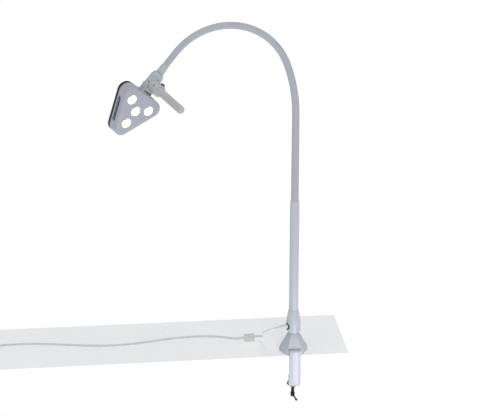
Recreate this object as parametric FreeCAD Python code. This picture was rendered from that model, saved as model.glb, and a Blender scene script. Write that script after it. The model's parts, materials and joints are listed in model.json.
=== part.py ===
import FreeCAD, Part
import math
import os

from FreeCAD import Matrix, Placement, Rotation
from FreeCAD import Vector as V

# Examination lamp on a table clamp, in millimetres, +Z up.
# The origin is the middle of the base's underside, on the table top.
# The clamp faces -Y, along the front edge of the table, and the arm reaches towards -X.

# ---- driving dimensions -------------------------------------------------------------------
TABLE_THICKNESS = 22.0      # the table that the clamp holds at rest
TABLE_EDGE = 31.0           # from the pole's axis to the table's front edge

BASE_CORNER = 34.0          # hexagonal base, centre to corner
BASE_SKIRT = 11.0
BASE_TOP = 48.0
BASE_NECK = 13.5
BASE_FOOT_GAP = 0.5         # the rubber pad stands this far proud

JAW_DEPTH = 71.0            # table top to the lower arm
STRAP_WIDTH = 27.0
STRAP_THICK = 6.0
ARM_THICK = 9.0

POLE_RADIUS = 11.0
POLE_BOTTOM = 86.0
POLE_TOP = 357.0
BOOT_RADIUS = 17.0
SOCKET_HEIGHT = 66.5
SOCKET_YAW = 20.0           # the supply socket's direction, from -X towards -Y
FERRULE_TOP = 383.0
PLUG_END = 48.0             # end of the plug's strain relief, from the pole's axis

ARM_YAW = 12.0              # the arm's plane, from -X towards -Y
BEND_START = 588.0          # height at which the arm leaves the vertical
WIDE_RADIUS = 340.0
WIDE_TURN = 20.6
TIGHT_RADIUS = 152.0
TIGHT_TURN = 118.4
ARM_END = 86.8              # straight stretch at the end of the arm, to the knuckle
FLEX_BOTTOM_RADIUS = 9.0
FLEX_TOP_RADIUS = 7.1
WIRE_BORE = 3.5
LINKS = 6                   # places at which the flexible arm bends

NECK_TWIST = 20.0           # the head's turn about the end of the arm
KNUCKLE_RADIUS = 14.5
TILT_DROP = 6.0             # from the knuckle's centre to the tilt axle
HANDLE_RISE = 2.0           # from the knuckle's centre up to the handle's axis
HEAD_DROP = 59.2            # from the tilt axle to the head's centre

HEAD_CORNER = 19.0          # radius of the head's three corners
HEAD_TOP_CORNER = (35.5, 24.0)  # middle of the upper right corner, from the head's centre
HEAD_LOW_CORNER = -45.0     # middle of the lower corner
HEAD_TOP = HEAD_TOP_CORNER[1] + HEAD_CORNER
HEAD_HALF = 17.5            # half of the head's thickness
COVER_SPLIT = -13.5         # where the rear cover meets the front housing
WALL = 2.5
FACE = 3.0
LED_CIRCLE = 32.7
LED_OPENING = 10.8

LEAD_RADIUS = 2.25
LEAD_GAP = 0.5              # from the plug, which turns with the pole
COIL_X, COIL_Y = -748.0, 62.0
COIL_OUTER = 31.0           # centre line of the coil's outermost turn
COIL_LAYER_TURNS = 2.875    # turns in each of the coil's two layers
COIL_PITCH = 4.6

FIT = 0.05                  # running fit, on the radius
GAP = 0.3                   # clearance between moving faces

X, Y, Z = V(1, 0, 0), V(0, 1, 0), V(0, 0, 1)
O = V(0, 0, 0)
NODES = {}


# ---- building blocks ----------------------------------------------------------------------
def polar(radius, degrees, height=0.0):
    turn = math.radians(degrees)
    return V(radius * math.cos(turn), radius * math.sin(turn), height)


def cyl(radius, start, end):
    """A round bar from one point to another."""
    return Part.makeCylinder(radius, (end - start).Length, start, end - start)


def cone(radius_a, radius_b, start, end):
    return Part.makeCone(radius_a, radius_b, (end - start).Length, start, end - start)


def block(low, high):
    size = high - low
    return Part.makeBox(size.x, size.y, size.z, low)


def turned(profile, origin=O, axis=Z, side=X):
    """A solid of revolution from (radius, height) points."""
    points = [origin + side * r + axis * h for r, h in profile]
    face = Part.Face(Part.makePolygon(points + points[:1]))
    return face.revolve(origin, axis, 360)


def fused(shapes):
    result = shapes[0].fuse(shapes[1:]) if len(shapes) > 1 else shapes[0]
    return result.removeSplitter()


def bored(shape, tools):
    return shape.cut(fused(tools))


def frame(origin, x_axis, y_axis):
    """A placement from its origin and two square axes."""
    z_axis = x_axis.cross(y_axis)
    rows = []
    for name in "xyz":
        rows += [getattr(x_axis, name), getattr(y_axis, name), getattr(z_axis, name)]
        rows.append(getattr(origin, name))
    return Placement(Matrix(*rows, 0, 0, 0, 1))


def node(name, shapes, place=None):
    """Keep one named piece, or a group of identical ones, at its place."""
    if not isinstance(shapes, list):
        shapes = [shapes]
    placed = []
    for shape in shapes:
        solid = shape.copy()
        if place is not None:
            solid.transformShape(place.toMatrix(), True)
        placed.append(solid)
    NODES[name] = placed[0] if len(placed) == 1 else Part.makeCompound(placed)


def hexagon(corner, height):
    points = [polar(corner, 60 * k, height) for k in range(7)]
    return Part.makePolygon(points)


def hex_prism(corner, bottom, top):
    return Part.Face(hexagon(corner, bottom)).extrude(Z * (top - bottom))


def screw(start, end, shank, head, head_length):
    """A pan-head screw: the head is at the start, outside the shank."""
    along = (end - start).normalize()
    return fused([cyl(shank, start, end), cyl(head, start - along * head_length, start)])


# ---- the base and its clamp ---------------------------------------------------------------
FLANGE_LOW, FLANGE_HIGH = 9.0, 15.0
PIN_RADIUS = 8.0
STOP_HEIGHT = 22.0
STOP_RADIUS = 2.0
STOP_SPREAD = 19.0          # half of the angle that the stop screw takes up in its slot
SWIVEL_LIMIT = 45.0
JAW_FLOOR = -JAW_DEPTH
ARM_FLOOR = -JAW_DEPTH - ARM_THICK


def build_base():
    skirt = hex_prism(BASE_CORNER, BASE_FOOT_GAP, BASE_SKIRT)
    cap = Part.makeLoft([hexagon(BASE_CORNER, BASE_SKIRT), hexagon(BASE_NECK, BASE_TOP)], True, True)
    half = STRAP_WIDTH / 2 + 0.5
    pocket = block(V(-half, -BASE_CORNER, -1), V(half, 22, FLANGE_HIGH + 0.6))
    bush_bottom = 28.0
    bush_radius = PIN_RADIUS + 2
    tools = [
        pocket,
        hex_prism(BASE_CORNER - 3, -1, 2.5),
        cyl(PIN_RADIUS + GAP, V(0, 0, 10), V(0, 0, bush_bottom)),
        cyl(bush_radius, V(0, 0, bush_bottom), V(0, 0, BASE_TOP + 1)),
        cyl(STOP_RADIUS, V(0, 0, STOP_HEIGHT), V(0, BASE_CORNER, STOP_HEIGHT)),
    ]
    screw_places = [V(-9.0, 14.0, 0), V(9.0, 14.0, 0)]
    for p in screw_places:
        tools.append(cyl(2.5, p, p + Z * 24))
    node("base_housing", bored(fused([skirt, cap]), tools))

    node("base_pad", hex_prism(BASE_CORNER - 3.3, 0, 2.5))
    node("swivel_bush", turned([(PIN_RADIUS + FIT, bush_bottom), (bush_radius, bush_bottom),
                                (bush_radius, BASE_TOP), (12.0, BASE_TOP), (12.0, BASE_TOP + 1),
                                (PIN_RADIUS + FIT, BASE_TOP + 1)]))
    bolts = [screw(p + Z * FLANGE_LOW, p + Z * 22, 2.5, 4.2, 3.0) for p in screw_places]
    stop_screw = cyl(STOP_RADIUS, V(0, 6.4, STOP_HEIGHT), V(0, 22, STOP_HEIGHT))
    node("base_screws", bolts + [stop_screw])
    return screw_places


def build_bracket(screw_places):
    """One strap: a flange inside the base, a front plate and the lower arm."""
    front = -TABLE_EDGE - STRAP_THICK
    half = STRAP_WIDTH / 2
    side = [
        V(-half, 20, FLANGE_HIGH), V(-half, front, FLANGE_HIGH), V(-half, front, ARM_FLOOR),
        V(-half, 15, ARM_FLOOR), V(-half, 15, JAW_FLOOR), V(-half, -TABLE_EDGE, JAW_FLOOR),
        V(-half, -TABLE_EDGE, FLANGE_LOW), V(-half, 20, FLANGE_LOW),
    ]
    strap = Part.Face(Part.makePolygon(side + side[:1])).extrude(X * STRAP_WIDTH)
    outer = []
    for edge in strap.Edges:
        a, b = edge.Vertexes[0].Point, edge.Vertexes[1].Point
        along_x = abs(a.x - b.x) > STRAP_WIDTH / 2
        if along_x and abs(a.y - front) < 0.01:
            outer.append(edge)
    strap = strap.makeFillet(5.0, outer)
    tools = [cyl(2.5, p + Z * (FLANGE_LOW - 1), p + Z * (FLANGE_HIGH + 1)) for p in screw_places]
    tools.append(cyl(9.0, V(0, 0, ARM_FLOOR - 1), V(0, 0, JAW_FLOOR + 1)))
    node("clamp_bracket", bored(strap, tools))


# ---- the clamp's screw --------------------------------------------------------------------
SPINDLE_RADIUS = 4.0
SPINDLE_HEAD = 5.2
SPINDLE_HEAD_LOW, SPINDLE_HEAD_HIGH = -123.0, -112.0
TOMMY_HEIGHT = -118.0
TOMMY_RADIUS = 2.0
TOMMY_KNOB = 3.0
TOMMY_LONG, TOMMY_SHORT = 30.0, -9.0    # the bar's two knobs, from the spindle's axis
TOMMY_YAW = -81.0           # the bar's direction at rest, from +X towards -Y
NUT_FLANGE = 2.0
WHEEL_RADIUS = 14.5
WHEEL_LENGTH = 15.0
WHEEL_GROOVES = 18
PAD_TOP = -TABLE_THICKNESS - 0.5
PAD_THICK = 2.0


def build_clamp_screw():
    thread = SPINDLE_RADIUS + 0.1
    flange_low = ARM_FLOOR - NUT_FLANGE
    node("spindle_nut", turned([(thread, flange_low), (11.0, flange_low), (11.0, ARM_FLOOR),
                                (9.0, ARM_FLOOR), (9.0, JAW_FLOOR), (thread, JAW_FLOOR)]))

    plate_top = PAD_TOP - PAD_THICK
    cup_low = plate_top - 9
    cup_bore = SPINDLE_RADIUS + FIT
    cup_floor = plate_top - 3
    node("pressure_plate", turned([(0, plate_top), (13.0, plate_top), (13.0, plate_top - 3.5),
                                   (8.5, cup_low), (cup_bore, cup_low), (cup_bore, cup_floor),
                                   (0, cup_floor)]))
    node("pressure_pad", turned([(0, plate_top), (12.5, plate_top), (12.5, PAD_TOP), (0, PAD_TOP)]))

    top = cup_floor - 0.1
    profile = [
        (0, top), (SPINDLE_RADIUS - 1.2, top), (SPINDLE_RADIUS, top - 1.5),
        (SPINDLE_RADIUS, SPINDLE_HEAD_HIGH), (SPINDLE_HEAD, SPINDLE_HEAD_HIGH - 1),
        (SPINDLE_HEAD, SPINDLE_HEAD_LOW + 1), (SPINDLE_HEAD - 1, SPINDLE_HEAD_LOW),
        (0, SPINDLE_HEAD_LOW),
    ]
    along = polar(1, TOMMY_YAW)
    centre = Z * TOMMY_HEIGHT
    hole = cyl(TOMMY_RADIUS + GAP, centre - along * 10, centre + along * 10)
    node("clamp_spindle", turned(profile).cut(hole))

    wheel_low = flange_low - WHEEL_LENGTH
    wheel = turned([(thread, wheel_low), (7.5, wheel_low), (WHEEL_RADIUS, wheel_low + 7.6),
                    (WHEEL_RADIUS, wheel_low + 9), (8.0, flange_low), (thread, flange_low)])
    grooves = []
    for k in range(WHEEL_GROOVES):
        rim = polar(WHEEL_RADIUS + 0.7, 360 * k / WHEEL_GROOVES, wheel_low - 1)
        grooves.append(cyl(1.3, rim, rim + Z * (WHEEL_LENGTH + 2)))
    node("lock_wheel", wheel.cut(grooves))

    bar = [cyl(TOMMY_RADIUS, centre + along * TOMMY_SHORT, centre + along * TOMMY_LONG)]
    for reach in (TOMMY_SHORT, TOMMY_LONG):
        bar.append(cyl(TOMMY_KNOB, centre + along * (reach - 2), centre + along * (reach + 2)))
    node("tommy_bar", fused(bar))


# ---- the pole -----------------------------------------------------------------------------
def build_pole():
    pin_bottom, pin_top = 17.0, 58.5
    pin = cyl(PIN_RADIUS, V(0, 0, pin_bottom), V(0, 0, pin_top))
    low, high = STOP_HEIGHT - STOP_RADIUS - GAP, STOP_HEIGHT + STOP_RADIUS + GAP
    section = [V(6, 0, low), V(9, 0, low), V(9, 0, high), V(6, 0, high), V(6, 0, low)]
    slot_half = SWIVEL_LIMIT + STOP_SPREAD
    slot = Part.Face(Part.makePolygon(section)).revolve(O, Z, 2 * slot_half)
    slot.rotate(O, Z, 90 - slot_half)
    node("swivel_pin", bored(pin, [slot, cyl(WIRE_BORE, V(0, 0, 50), V(0, 0, pin_top + 1))]))

    profile = [
        (PIN_RADIUS, BASE_TOP + 1.2), (12.3, BASE_TOP + 1.2), (BOOT_RADIUS, BASE_TOP + 6.2),
        (BOOT_RADIUS, 80), (POLE_RADIUS + 0.8, 107), (POLE_RADIUS, 107), (POLE_RADIUS, POLE_BOTTOM),
        (9.4, POLE_BOTTOM), (13.5, 76), (13.5, pin_top), (PIN_RADIUS, pin_top),
    ]
    out = polar(1, 180 + SOCKET_YAW)
    centre = Z * SOCKET_HEIGHT
    ring_radius, well_radius = 7.5, 5.6
    boot = turned(profile)
    node("pole_boot", boot.cut(cyl(ring_radius, centre + out * 10, centre + out * 20)))
    socket = cyl(ring_radius, centre + out * 6, centre + out * 17.3)
    socket = socket.cut(cyl(well_radius, centre + out * 11.5, centre + out * 18))
    socket = socket.cut(cyl(3.0, centre + out * 7.5, centre + out * 12))
    contact = cyl(1.0, centre + out * 7.5, centre + out * 11)
    node("supply_socket", fused([socket, contact]))

    tube = cyl(POLE_RADIUS, Z * POLE_BOTTOM, Z * POLE_TOP)
    node("pole_tube", tube.cut(cyl(POLE_RADIUS - 1.5, Z * (POLE_BOTTOM - 1), Z * (POLE_TOP + 1))))
    spigot = POLE_RADIUS - 1.5
    seat = POLE_TOP + 8
    node("pole_ferrule", turned([
        (5.0, POLE_TOP - 22), (spigot, POLE_TOP - 22), (spigot, POLE_TOP), (POLE_RADIUS, POLE_TOP),
        (POLE_RADIUS, 369), (9.7, FERRULE_TOP), (FLEX_BOTTOM_RADIUS, FERRULE_TOP),
        (FLEX_BOTTOM_RADIUS, seat), (5.0, seat)]))

    plug = turned([(0, 7.7), (2.8, 7.7), (2.8, 11.6), (5.35, 11.6), (5.2, 34), (4.7, 35),
                   (3.0, PLUG_END), (0, PLUG_END)], centre, out, Z)
    node("supply_plug", plug.cut(cyl(1.3, centre + out * 7, centre + out * 14)))
    return centre, out


# ---- the flexible arm ---------------------------------------------------------------------
def arm_place():
    """The arm's own frame: x along its reach, z up, both in the arm's plane."""
    return Placement(O, Rotation(Z, 180 + ARM_YAW))


class ArmLine:
    """The arm's centre line: a straight rise, two arcs and a straight end, in the x-z plane."""

    def __init__(self):
        self.parts = []
        point, heading, run = O, 0.0, 0.0
        for radius, size in ((0, BEND_START), (WIDE_RADIUS, WIDE_TURN), (TIGHT_RADIUS, TIGHT_TURN),
                             (0, ARM_END)):
            length = radius * math.radians(size) if radius else size
            self.parts.append((run, run + length, radius, point, heading))
            point, heading = self.step(radius, point, heading, length)
            run += length
        self.length = run

    @staticmethod
    def step(radius, point, heading, length):
        if not radius:
            return point + V(math.sin(heading), 0, math.cos(heading)) * length, heading
        centre = point + V(math.cos(heading), 0, -math.sin(heading)) * radius
        heading += length / radius
        return centre + V(-math.cos(heading), 0, math.sin(heading)) * radius, heading

    def at(self, run):
        """The point and the direction of the line at a distance along it."""
        for low, high, radius, point, heading in self.parts:
            if run <= high + 1e-9:
                break
        point, heading = self.step(radius, point, heading, run - low)
        return point, V(math.sin(heading), 0, math.cos(heading))

    def wire(self, start, end):
        edges = []
        for low, high, radius, _, _ in self.parts:
            a, b = max(start, low), min(end, high)
            if b - a < 0.01:
                continue
            first, last = self.at(a)[0], self.at(b)[0]
            if radius:
                edges.append(Part.Arc(first, self.at((a + b) / 2)[0], last).toShape())
            else:
                edges.append(Part.LineSegment(first, last).toShape())
        return Part.Wire(edges)

    def rod(self, start, end, radius):
        point, along = self.at(start)
        ring = Part.Wire(Part.makeCircle(radius, point, along))
        return self.wire(start, end).makePipeShell([ring], True, False)


LINE = ArmLine()
FLEX_START = POLE_TOP + 8
NECK_TOP = 31.0             # top of the knuckle, above its centre
NECK_FERRULE = 21.0         # length of the upper ferrule
FLEX_END = LINE.length - NECK_TOP - 10
FIRST_BEND, LAST_BEND = 410.0, LINE.length - NECK_TOP - NECK_FERRULE - 24


def bend_run(k):
    """Distance along the arm of bending place k, from 1 to LINKS."""
    return FIRST_BEND + (LAST_BEND - FIRST_BEND) * (k - 1) / (LINKS - 1)


def flex_radius(run):
    share = (run - FLEX_START) / (FLEX_END - FLEX_START)
    return FLEX_BOTTOM_RADIUS + (FLEX_TOP_RADIUS - FLEX_BOTTOM_RADIUS) * share


def build_flexible_arm():
    """Links with a ball on top and a socket below, each as thick as the sleeve there."""
    place = arm_place()
    for k in range(LINKS + 1):
        start = bend_run(k) if k else FLEX_START
        end = bend_run(k + 1) if k < LINKS else FLEX_END
        radius = flex_radius((start + end) / 2) if k else FLEX_BOTTOM_RADIUS
        if k == LINKS:
            radius = FLEX_TOP_RADIUS
        link = LINE.rod(start, end, radius)
        if k < LINKS:
            link = fused([link, Part.makeSphere(radius, LINE.at(end)[0])])
        if k:
            below = flex_radius((bend_run(k - 1) + start) / 2) if k > 1 else FLEX_BOTTOM_RADIUS
            link = link.cut(Part.makeSphere(below + GAP, LINE.at(start)[0]))
        point, along = LINE.at(end)
        bore = [LINE.rod(start, end, WIRE_BORE)]
        if k < LINKS:
            bore.append(cyl(WIRE_BORE, point, point + along * (radius + 1)))
        node("arm_link_%d" % (k + 1), bored(link, bore), place)


# ---- the knuckle and its handle -----------------------------------------------------------
def head_axes():
    """Side, up and front directions of the head, in the arm's frame."""
    _, down = LINE.at(LINE.length)
    up = down * -1
    inward = V(-up.z, 0, up.x) * -1
    twist = math.radians(NECK_TWIST)
    side = (inward * math.cos(twist) + Y * math.sin(twist)) * -1
    return side, up


def knuckle_place():
    """x along the tilt axle, y up along the arm, z towards the light, origin at the knuckle."""
    side, up = head_axes()
    return arm_place() * frame(LINE.at(LINE.length)[0], side, up)


def head_place():
    side, up = head_axes()
    drop = TILT_DROP + HEAD_DROP
    return arm_place() * frame(LINE.at(LINE.length)[0] - up * drop, side, up)


SPIGOT_RADIUS = 5.0
SPIGOT_LOW = 13.5
AXLE_RADIUS = 4.0
BUSH_RADIUS = 5.0
TONGUE_HALF = 10.5          # half the width of the knuckle's tongue, between the yoke's ears
TONGUE_RADIUS = 13.5        # round lower end of the tongue, about the tilt axle
EAR_RADIUS = 9.5
EAR_IN, EAR_OUT = 11.2, 15.2
BOSS_RADIUS = 14.0
BOSS_START, BOSS_END = 5.5, 39.0
GRIP_RADIUS = 8.5
GRIP_END = 131.5
CAP_LENGTH = 7.0
STUD_RADIUS = 4.0
STUD_START = 6.0
STUD_END = GRIP_END - 16.0
BUTTON_Z = 33.0
BUTTON_RADIUS = 5.2
BUTTON_TOP = 17.4           # from the handle's axis
BUTTON_BOTTOM = 10.0
BUTTON_FLOOR = 7.8
SET_SCREW_RADIUS = 2.2


def knuckle_shell():
    """The knuckle's outside: a round body with shoulders, and a tongue about the tilt axle."""
    axle = Y * -TILT_DROP
    body = turned([(0, -TILT_DROP), (KNUCKLE_RADIUS, -TILT_DROP), (KNUCKLE_RADIUS, 22), (11.5, NECK_TOP),
                   (0, NECK_TOP)], O, Y, X)
    below = cyl(KNUCKLE_RADIUS, axle - Y * TONGUE_RADIUS, axle)
    end = cyl(TONGUE_RADIUS, axle - X * KNUCKLE_RADIUS, axle + X * KNUCKLE_RADIUS)
    return fused([body, below.common(end)])


def build_knuckle():
    place = knuckle_place()
    axle = Y * -TILT_DROP
    ferrule_profile = [
        (WIRE_BORE, SPIGOT_LOW + 0.3), (SPIGOT_RADIUS, SPIGOT_LOW + 0.3), (SPIGOT_RADIUS, NECK_TOP + 0.3),
        (8.7, NECK_TOP + 0.3), (8.7, NECK_TOP + 14), (7.7, NECK_TOP + NECK_FERRULE),
        (FLEX_TOP_RADIUS, NECK_TOP + NECK_FERRULE), (FLEX_TOP_RADIUS, NECK_TOP + 10),
        (WIRE_BORE, NECK_TOP + 10),
    ]
    groove = [(4.2, 16.8), (SPIGOT_RADIUS + 1, 16.8), (SPIGOT_RADIUS + 1, 21.2), (4.2, 21.2)]
    ferrule = turned(ferrule_profile, O, Y, X).cut(turned(groove, O, Y, X))
    node("neck_ferrule", ferrule, place)

    shell = knuckle_shell()
    handle = Y * HANDLE_RISE
    slant = (Z - X).normalize()
    screw_centre = Y * 19
    shoulder = EAR_RADIUS + 0.7 - TILT_DROP
    sides = [block(V(a, -40, -20), V(b, shoulder, 20)) for a, b in ((-20, -TONGUE_HALF), (TONGUE_HALF, 20))]
    node("knuckle_housing", bored(shell, sides + [
        cyl(SPIGOT_RADIUS + FIT, Y * SPIGOT_LOW, Y * (NECK_TOP + 1)),
        cyl(BUSH_RADIUS, axle - X * 20, axle + X * 20),
        cyl(STUD_RADIUS, handle + Z * STUD_START, handle + Z * 20),
        cyl(SET_SCREW_RADIUS, screw_centre, screw_centre + slant * 20),
        cyl(WIRE_BORE - 1, V(0, 4.5, -3), V(0, SPIGOT_LOW + 1, -3)),
    ]), place)
    node("tilt_bush", turned([(AXLE_RADIUS + FIT, -TONGUE_HALF), (BUSH_RADIUS, -TONGUE_HALF),
                              (BUSH_RADIUS, TONGUE_HALF), (AXLE_RADIUS + FIT, TONGUE_HALF)],
                             axle, X, Y), place)

    button_at = handle + Z * BUTTON_Z
    side_screw = handle + V(0, 2, 26)
    ear_room = [cyl(EAR_RADIUS + 1.7, axle + X * TONGUE_HALF * way, axle + X * 20 * way) for way in (-1, 1)]
    node("handle_boss", bored(cyl(BOSS_RADIUS, handle + Z * BOSS_START, handle + Z * BOSS_END), ear_room + [
        shell,
        cyl(STUD_RADIUS, handle + Z * STUD_START, handle + Z * (BOSS_END + 1)),
        cyl(BUTTON_RADIUS + 0.15, button_at + Y * BUTTON_FLOOR, button_at + Y * 20),
        cyl(SET_SCREW_RADIUS, side_screw - X * 3, side_screw - X * 20),
    ]), place)
    node("set_screws", [
        cyl(SET_SCREW_RADIUS, screw_centre + slant * 4.5, screw_centre + slant * 14.2),
        cyl(SET_SCREW_RADIUS, side_screw - X * 4.2, side_screw - X * 12.4)], place)
    node("handle_stud", cyl(STUD_RADIUS, handle + Z * STUD_START, handle + Z * STUD_END), place)
    grip_top = GRIP_END - CAP_LENGTH
    grip = bored(cyl(GRIP_RADIUS, handle + Z * BOSS_END, handle + Z * grip_top), [
        cyl(STUD_RADIUS, handle + Z * (BOSS_END - 1), handle + Z * STUD_END),
        cyl(5.5, handle + Z * (grip_top - 6), handle + Z * (grip_top + 1))])
    node("handle_grip", grip, place)
    node("handle_end_cap", turned([(0, grip_top - 6), (5.5, grip_top - 6), (5.5, grip_top),
                                   (GRIP_RADIUS, grip_top), (GRIP_RADIUS, GRIP_END - 2),
                                   (GRIP_RADIUS - 2, GRIP_END), (0, GRIP_END)], handle, Z, X), place)
    button = turned([(0, BUTTON_BOTTOM), (BUTTON_RADIUS, BUTTON_BOTTOM), (BUTTON_RADIUS, BUTTON_TOP - 1),
                     (BUTTON_RADIUS - 1, BUTTON_TOP), (0, BUTTON_TOP)], button_at, Y, X)
    node("lock_button", button, place)


# ---- the head -----------------------------------------------------------------------------
FOOT_SCREWS = (-10, 10)
SLOT_PITCH = 6              # cooling slots in the rear cover
SCREW_RING = 51.5           # cover screws, from the head's centre towards each corner
POST_RING = 27.0            # posts of the light board, from the centre towards each side
CORNERS = (-90, 30, 150)
SIDES = (90, 210, 330)
BOARD_LOW, BOARD_HIGH = 1.0, 2.6
DRIVER_LOW = -6.0
LIP_DEPTH = 2.0
FOOT_LOW = HEAD_TOP - HEAD_DROP        # underside of the yoke's foot, from the tilt axle
FOOT_HIGH = FOOT_LOW + 2.2


def plate(corners, radius, low, high):
    """A triangular plate with round corners, given their middles in order round it."""
    edges = []
    ends = []
    for k in range(3):
        here, after, before = corners[k], corners[(k + 1) % 3], corners[k - 1]
        into = (here - before).cross(Z).normalize() * radius
        away = (after - here).cross(Z).normalize() * radius
        middle = (into + away).normalize() * radius
        a, m, b = (here + off + Z * low for off in (into, middle, away))
        ends.append((a, b))
        edges.append(Part.Arc(a, m, b).toShape())
    for k in range(3):
        edges.append(Part.LineSegment(ends[k][1], ends[(k + 1) % 3][0]).toShape())
    wire = Part.Wire(Part.__sortEdges__(edges))
    return Part.Face(wire).extrude(Z * (high - low))


def head_corners():
    x, y = HEAD_TOP_CORNER
    return [V(0, HEAD_LOW_CORNER, 0), V(x, y, 0), V(-x, y, 0)]


def head_plate(inset, low, high):
    """The head's own outline, a distance inside it."""
    return plate(head_corners(), HEAD_CORNER - inset, low, high)


def light_places():
    return [O] + [polar(LED_CIRCLE, turn) for turn in CORNERS]


def build_front_housing():
    outside = head_plate(0, COVER_SPLIT, HEAD_HALF)
    rim = [e for e in outside.Edges if min(v.Point.z for v in e.Vertexes) > HEAD_HALF - 0.01]
    outside = outside.makeFillet(3.0, rim)
    shell = outside.cut(head_plate(WALL, COVER_SPLIT - 1, HEAD_HALF - FACE))
    posts = [cyl(3.6, polar(SCREW_RING, t, COVER_SPLIT + LIP_DEPTH), polar(SCREW_RING, t, HEAD_HALF - FACE))
             for t in CORNERS]
    holes = [cyl(LED_OPENING, p + Z * 10, p + Z * 20) for p in light_places()]
    holes += [cyl(1.5, polar(SCREW_RING, t, -20), polar(SCREW_RING, t, 0)) for t in CORNERS]
    holes += [cyl(2.0, V(x, HEAD_TOP - 6, 0), V(x, HEAD_TOP + 1, 0)) for x in FOOT_SCREWS]
    holes.append(cyl(3.0, V(0, HEAD_TOP - 6, -8), V(0, HEAD_TOP + 1, -8)))
    holes.append(key_tool(KEY_SLOT_LENGTH, KEY_SLOT_HEIGHT, -WALL - 1, 1))
    node("front_housing", bored(fused([shell] + posts), holes), head_place())


def build_rear_cover():
    lip = head_plate(WALL + 0.2, COVER_SPLIT, COVER_SPLIT + LIP_DEPTH)
    seal = head_plate(0.6, COVER_SPLIT - 0.8, COVER_SPLIT).cut(
        head_plate(WALL - 0.4, COVER_SPLIT - 1, COVER_SPLIT + 1))
    slots = fused([block(V(-50, y - 1.5, -HEAD_HALF - 1), V(50, y + 1.5, -15.2))
                   for y in range(-46, 36, SLOT_PITCH)])
    slots = slots.common(head_plate(WALL + 3.5, -HEAD_HALF - 1, -14))
    slots = slots.cut([cyl(4.6, polar(SCREW_RING, t, -20), polar(SCREW_RING, t, -10)) for t in CORNERS])
    posts = [cyl(3.0, polar(POST_RING, t, COVER_SPLIT), polar(POST_RING, t, BOARD_LOW)) for t in SIDES]
    posts += [cyl(2.0, V(x, 0, COVER_SPLIT), V(x, 0, DRIVER_LOW)) for x in (-13, 13)]
    holes = []
    for turn in CORNERS:
        holes.append(cyl(1.5, polar(SCREW_RING, turn, -20), polar(SCREW_RING, turn, -10)))
        holes.append(cyl(2.9, polar(SCREW_RING, turn, -20), polar(SCREW_RING, turn, -15.5)))
    holes += [cyl(1.5, polar(POST_RING, t, -10), polar(POST_RING, t, 5)) for t in SIDES]
    cover = fused([head_plate(0, -HEAD_HALF, COVER_SPLIT), lip] + posts)
    place = head_place()
    node("rear_cover", cover.cut(seal).cut(slots).cut(fused(holes)), place)
    node("cover_seal", seal, place)
    screws = [screw(polar(SCREW_RING, t, -15.5), polar(SCREW_RING, t, -2), 1.5, 2.7, 1.8) for t in CORNERS]
    screws += [screw(polar(POST_RING, t, BOARD_HIGH), polar(POST_RING, t, -10), 1.5, 2.7, 1.8)
               for t in SIDES]
    node("head_screws", screws, place)


def build_head_light():
    place = head_place()
    holes = [cyl(1.5, polar(POST_RING, t, -7), polar(POST_RING, t, 5)) for t in SIDES]
    board = plate([polar(32, t) for t in CORNERS], 15.5, BOARD_LOW, BOARD_HIGH)
    node("light_board", bored(board, holes), place)
    chips, cups, lenses = [], [], []
    for p in light_places():
        chips.append(block(p + V(-2.5, -2.5, BOARD_HIGH), p + V(2.5, 2.5, BOARD_HIGH + 1)))
        cups.append(turned([(4.2, 3.8), (5.2, 3.8), (11.0, 11.9), (10.0, 11.9)], p, Z, X))
        lenses.append(turned([(0, 12.0), (12.6, 12.0), (12.6, 14.4), (LED_OPENING - 0.1, 14.4),
                              (LED_OPENING - 0.1, 16.4), (LED_OPENING - 1.6, 17.4), (0, 17.4)], p, Z, X))
    node("light_chips", chips, place)
    node("reflectors", cups, place)
    node("lenses", lenses, place)

    high = DRIVER_LOW + 1.6
    node("driver_board", fused([
        block(V(-17, -11, DRIVER_LOW), V(17, 11, high)), block(V(-14, -8, high), V(-4, 2, high + 4)),
        cyl(3.2, V(4, 2, high), V(4, 2, high + 4.6)), block(V(7, -9, high), V(14, -3, high + 2))]), place)


KEY_COUNT = 4
KEY_PITCH = 12.5
KEY_SLOT_LENGTH = 46.0
KEY_SLOT_HEIGHT = 4.6
PANEL_LENGTH = 58.0
PANEL_HEIGHT = 7.0
PANEL_SLANT = 3.0
PANEL_THICK = 0.8
KEY_LEVEL = 1.0


def key_frame():
    """x along the wall, y across it (towards the face), z out of the wall."""
    low, _, high = head_corners()
    out = (low - high).cross(Z).normalize()
    middle = (low + high) * 0.5 + out * HEAD_CORNER
    return frame(middle + Z * KEY_LEVEL, out.cross(Z) * -1, Z * 1)


def key_tool(length, height, low, high):
    tool = block(V(-length / 2, -height / 2, low), V(length / 2, height / 2, high))
    tool.transformShape(key_frame().toMatrix(), True)
    return tool


def build_keypad():
    place = head_place() * key_frame()
    half_l, half_h = PANEL_LENGTH / 2, PANEL_HEIGHT / 2
    outline = [V(-half_l, -half_h, 0), V(half_l - PANEL_SLANT, -half_h, 0), V(half_l, half_h, 0),
               V(PANEL_SLANT - half_l, half_h, 0)]
    panel = Part.Face(Part.makePolygon(outline + outline[:1])).extrude(Z * PANEL_THICK)
    window, key = V(4.2, 1.95, 0), V(4.0, 1.75, 0)
    windows = []
    for k in range(KEY_COUNT):
        centre = X * (KEY_PITCH * (k - (KEY_COUNT - 1) / 2))
        windows.append(block(centre - window - Z, centre + window + Z * 3))
        cap = block(centre - key - Z * 1.4, centre + key + Z * 1.5)
        node("key_%d" % (k + 1), cap, place)
    node("key_panel", panel.cut(fused(windows)), place)
    node("key_switch_strip", block(V(-24, -2.2, -4.2), V(24, 2.2, -3.2)), place)


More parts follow.
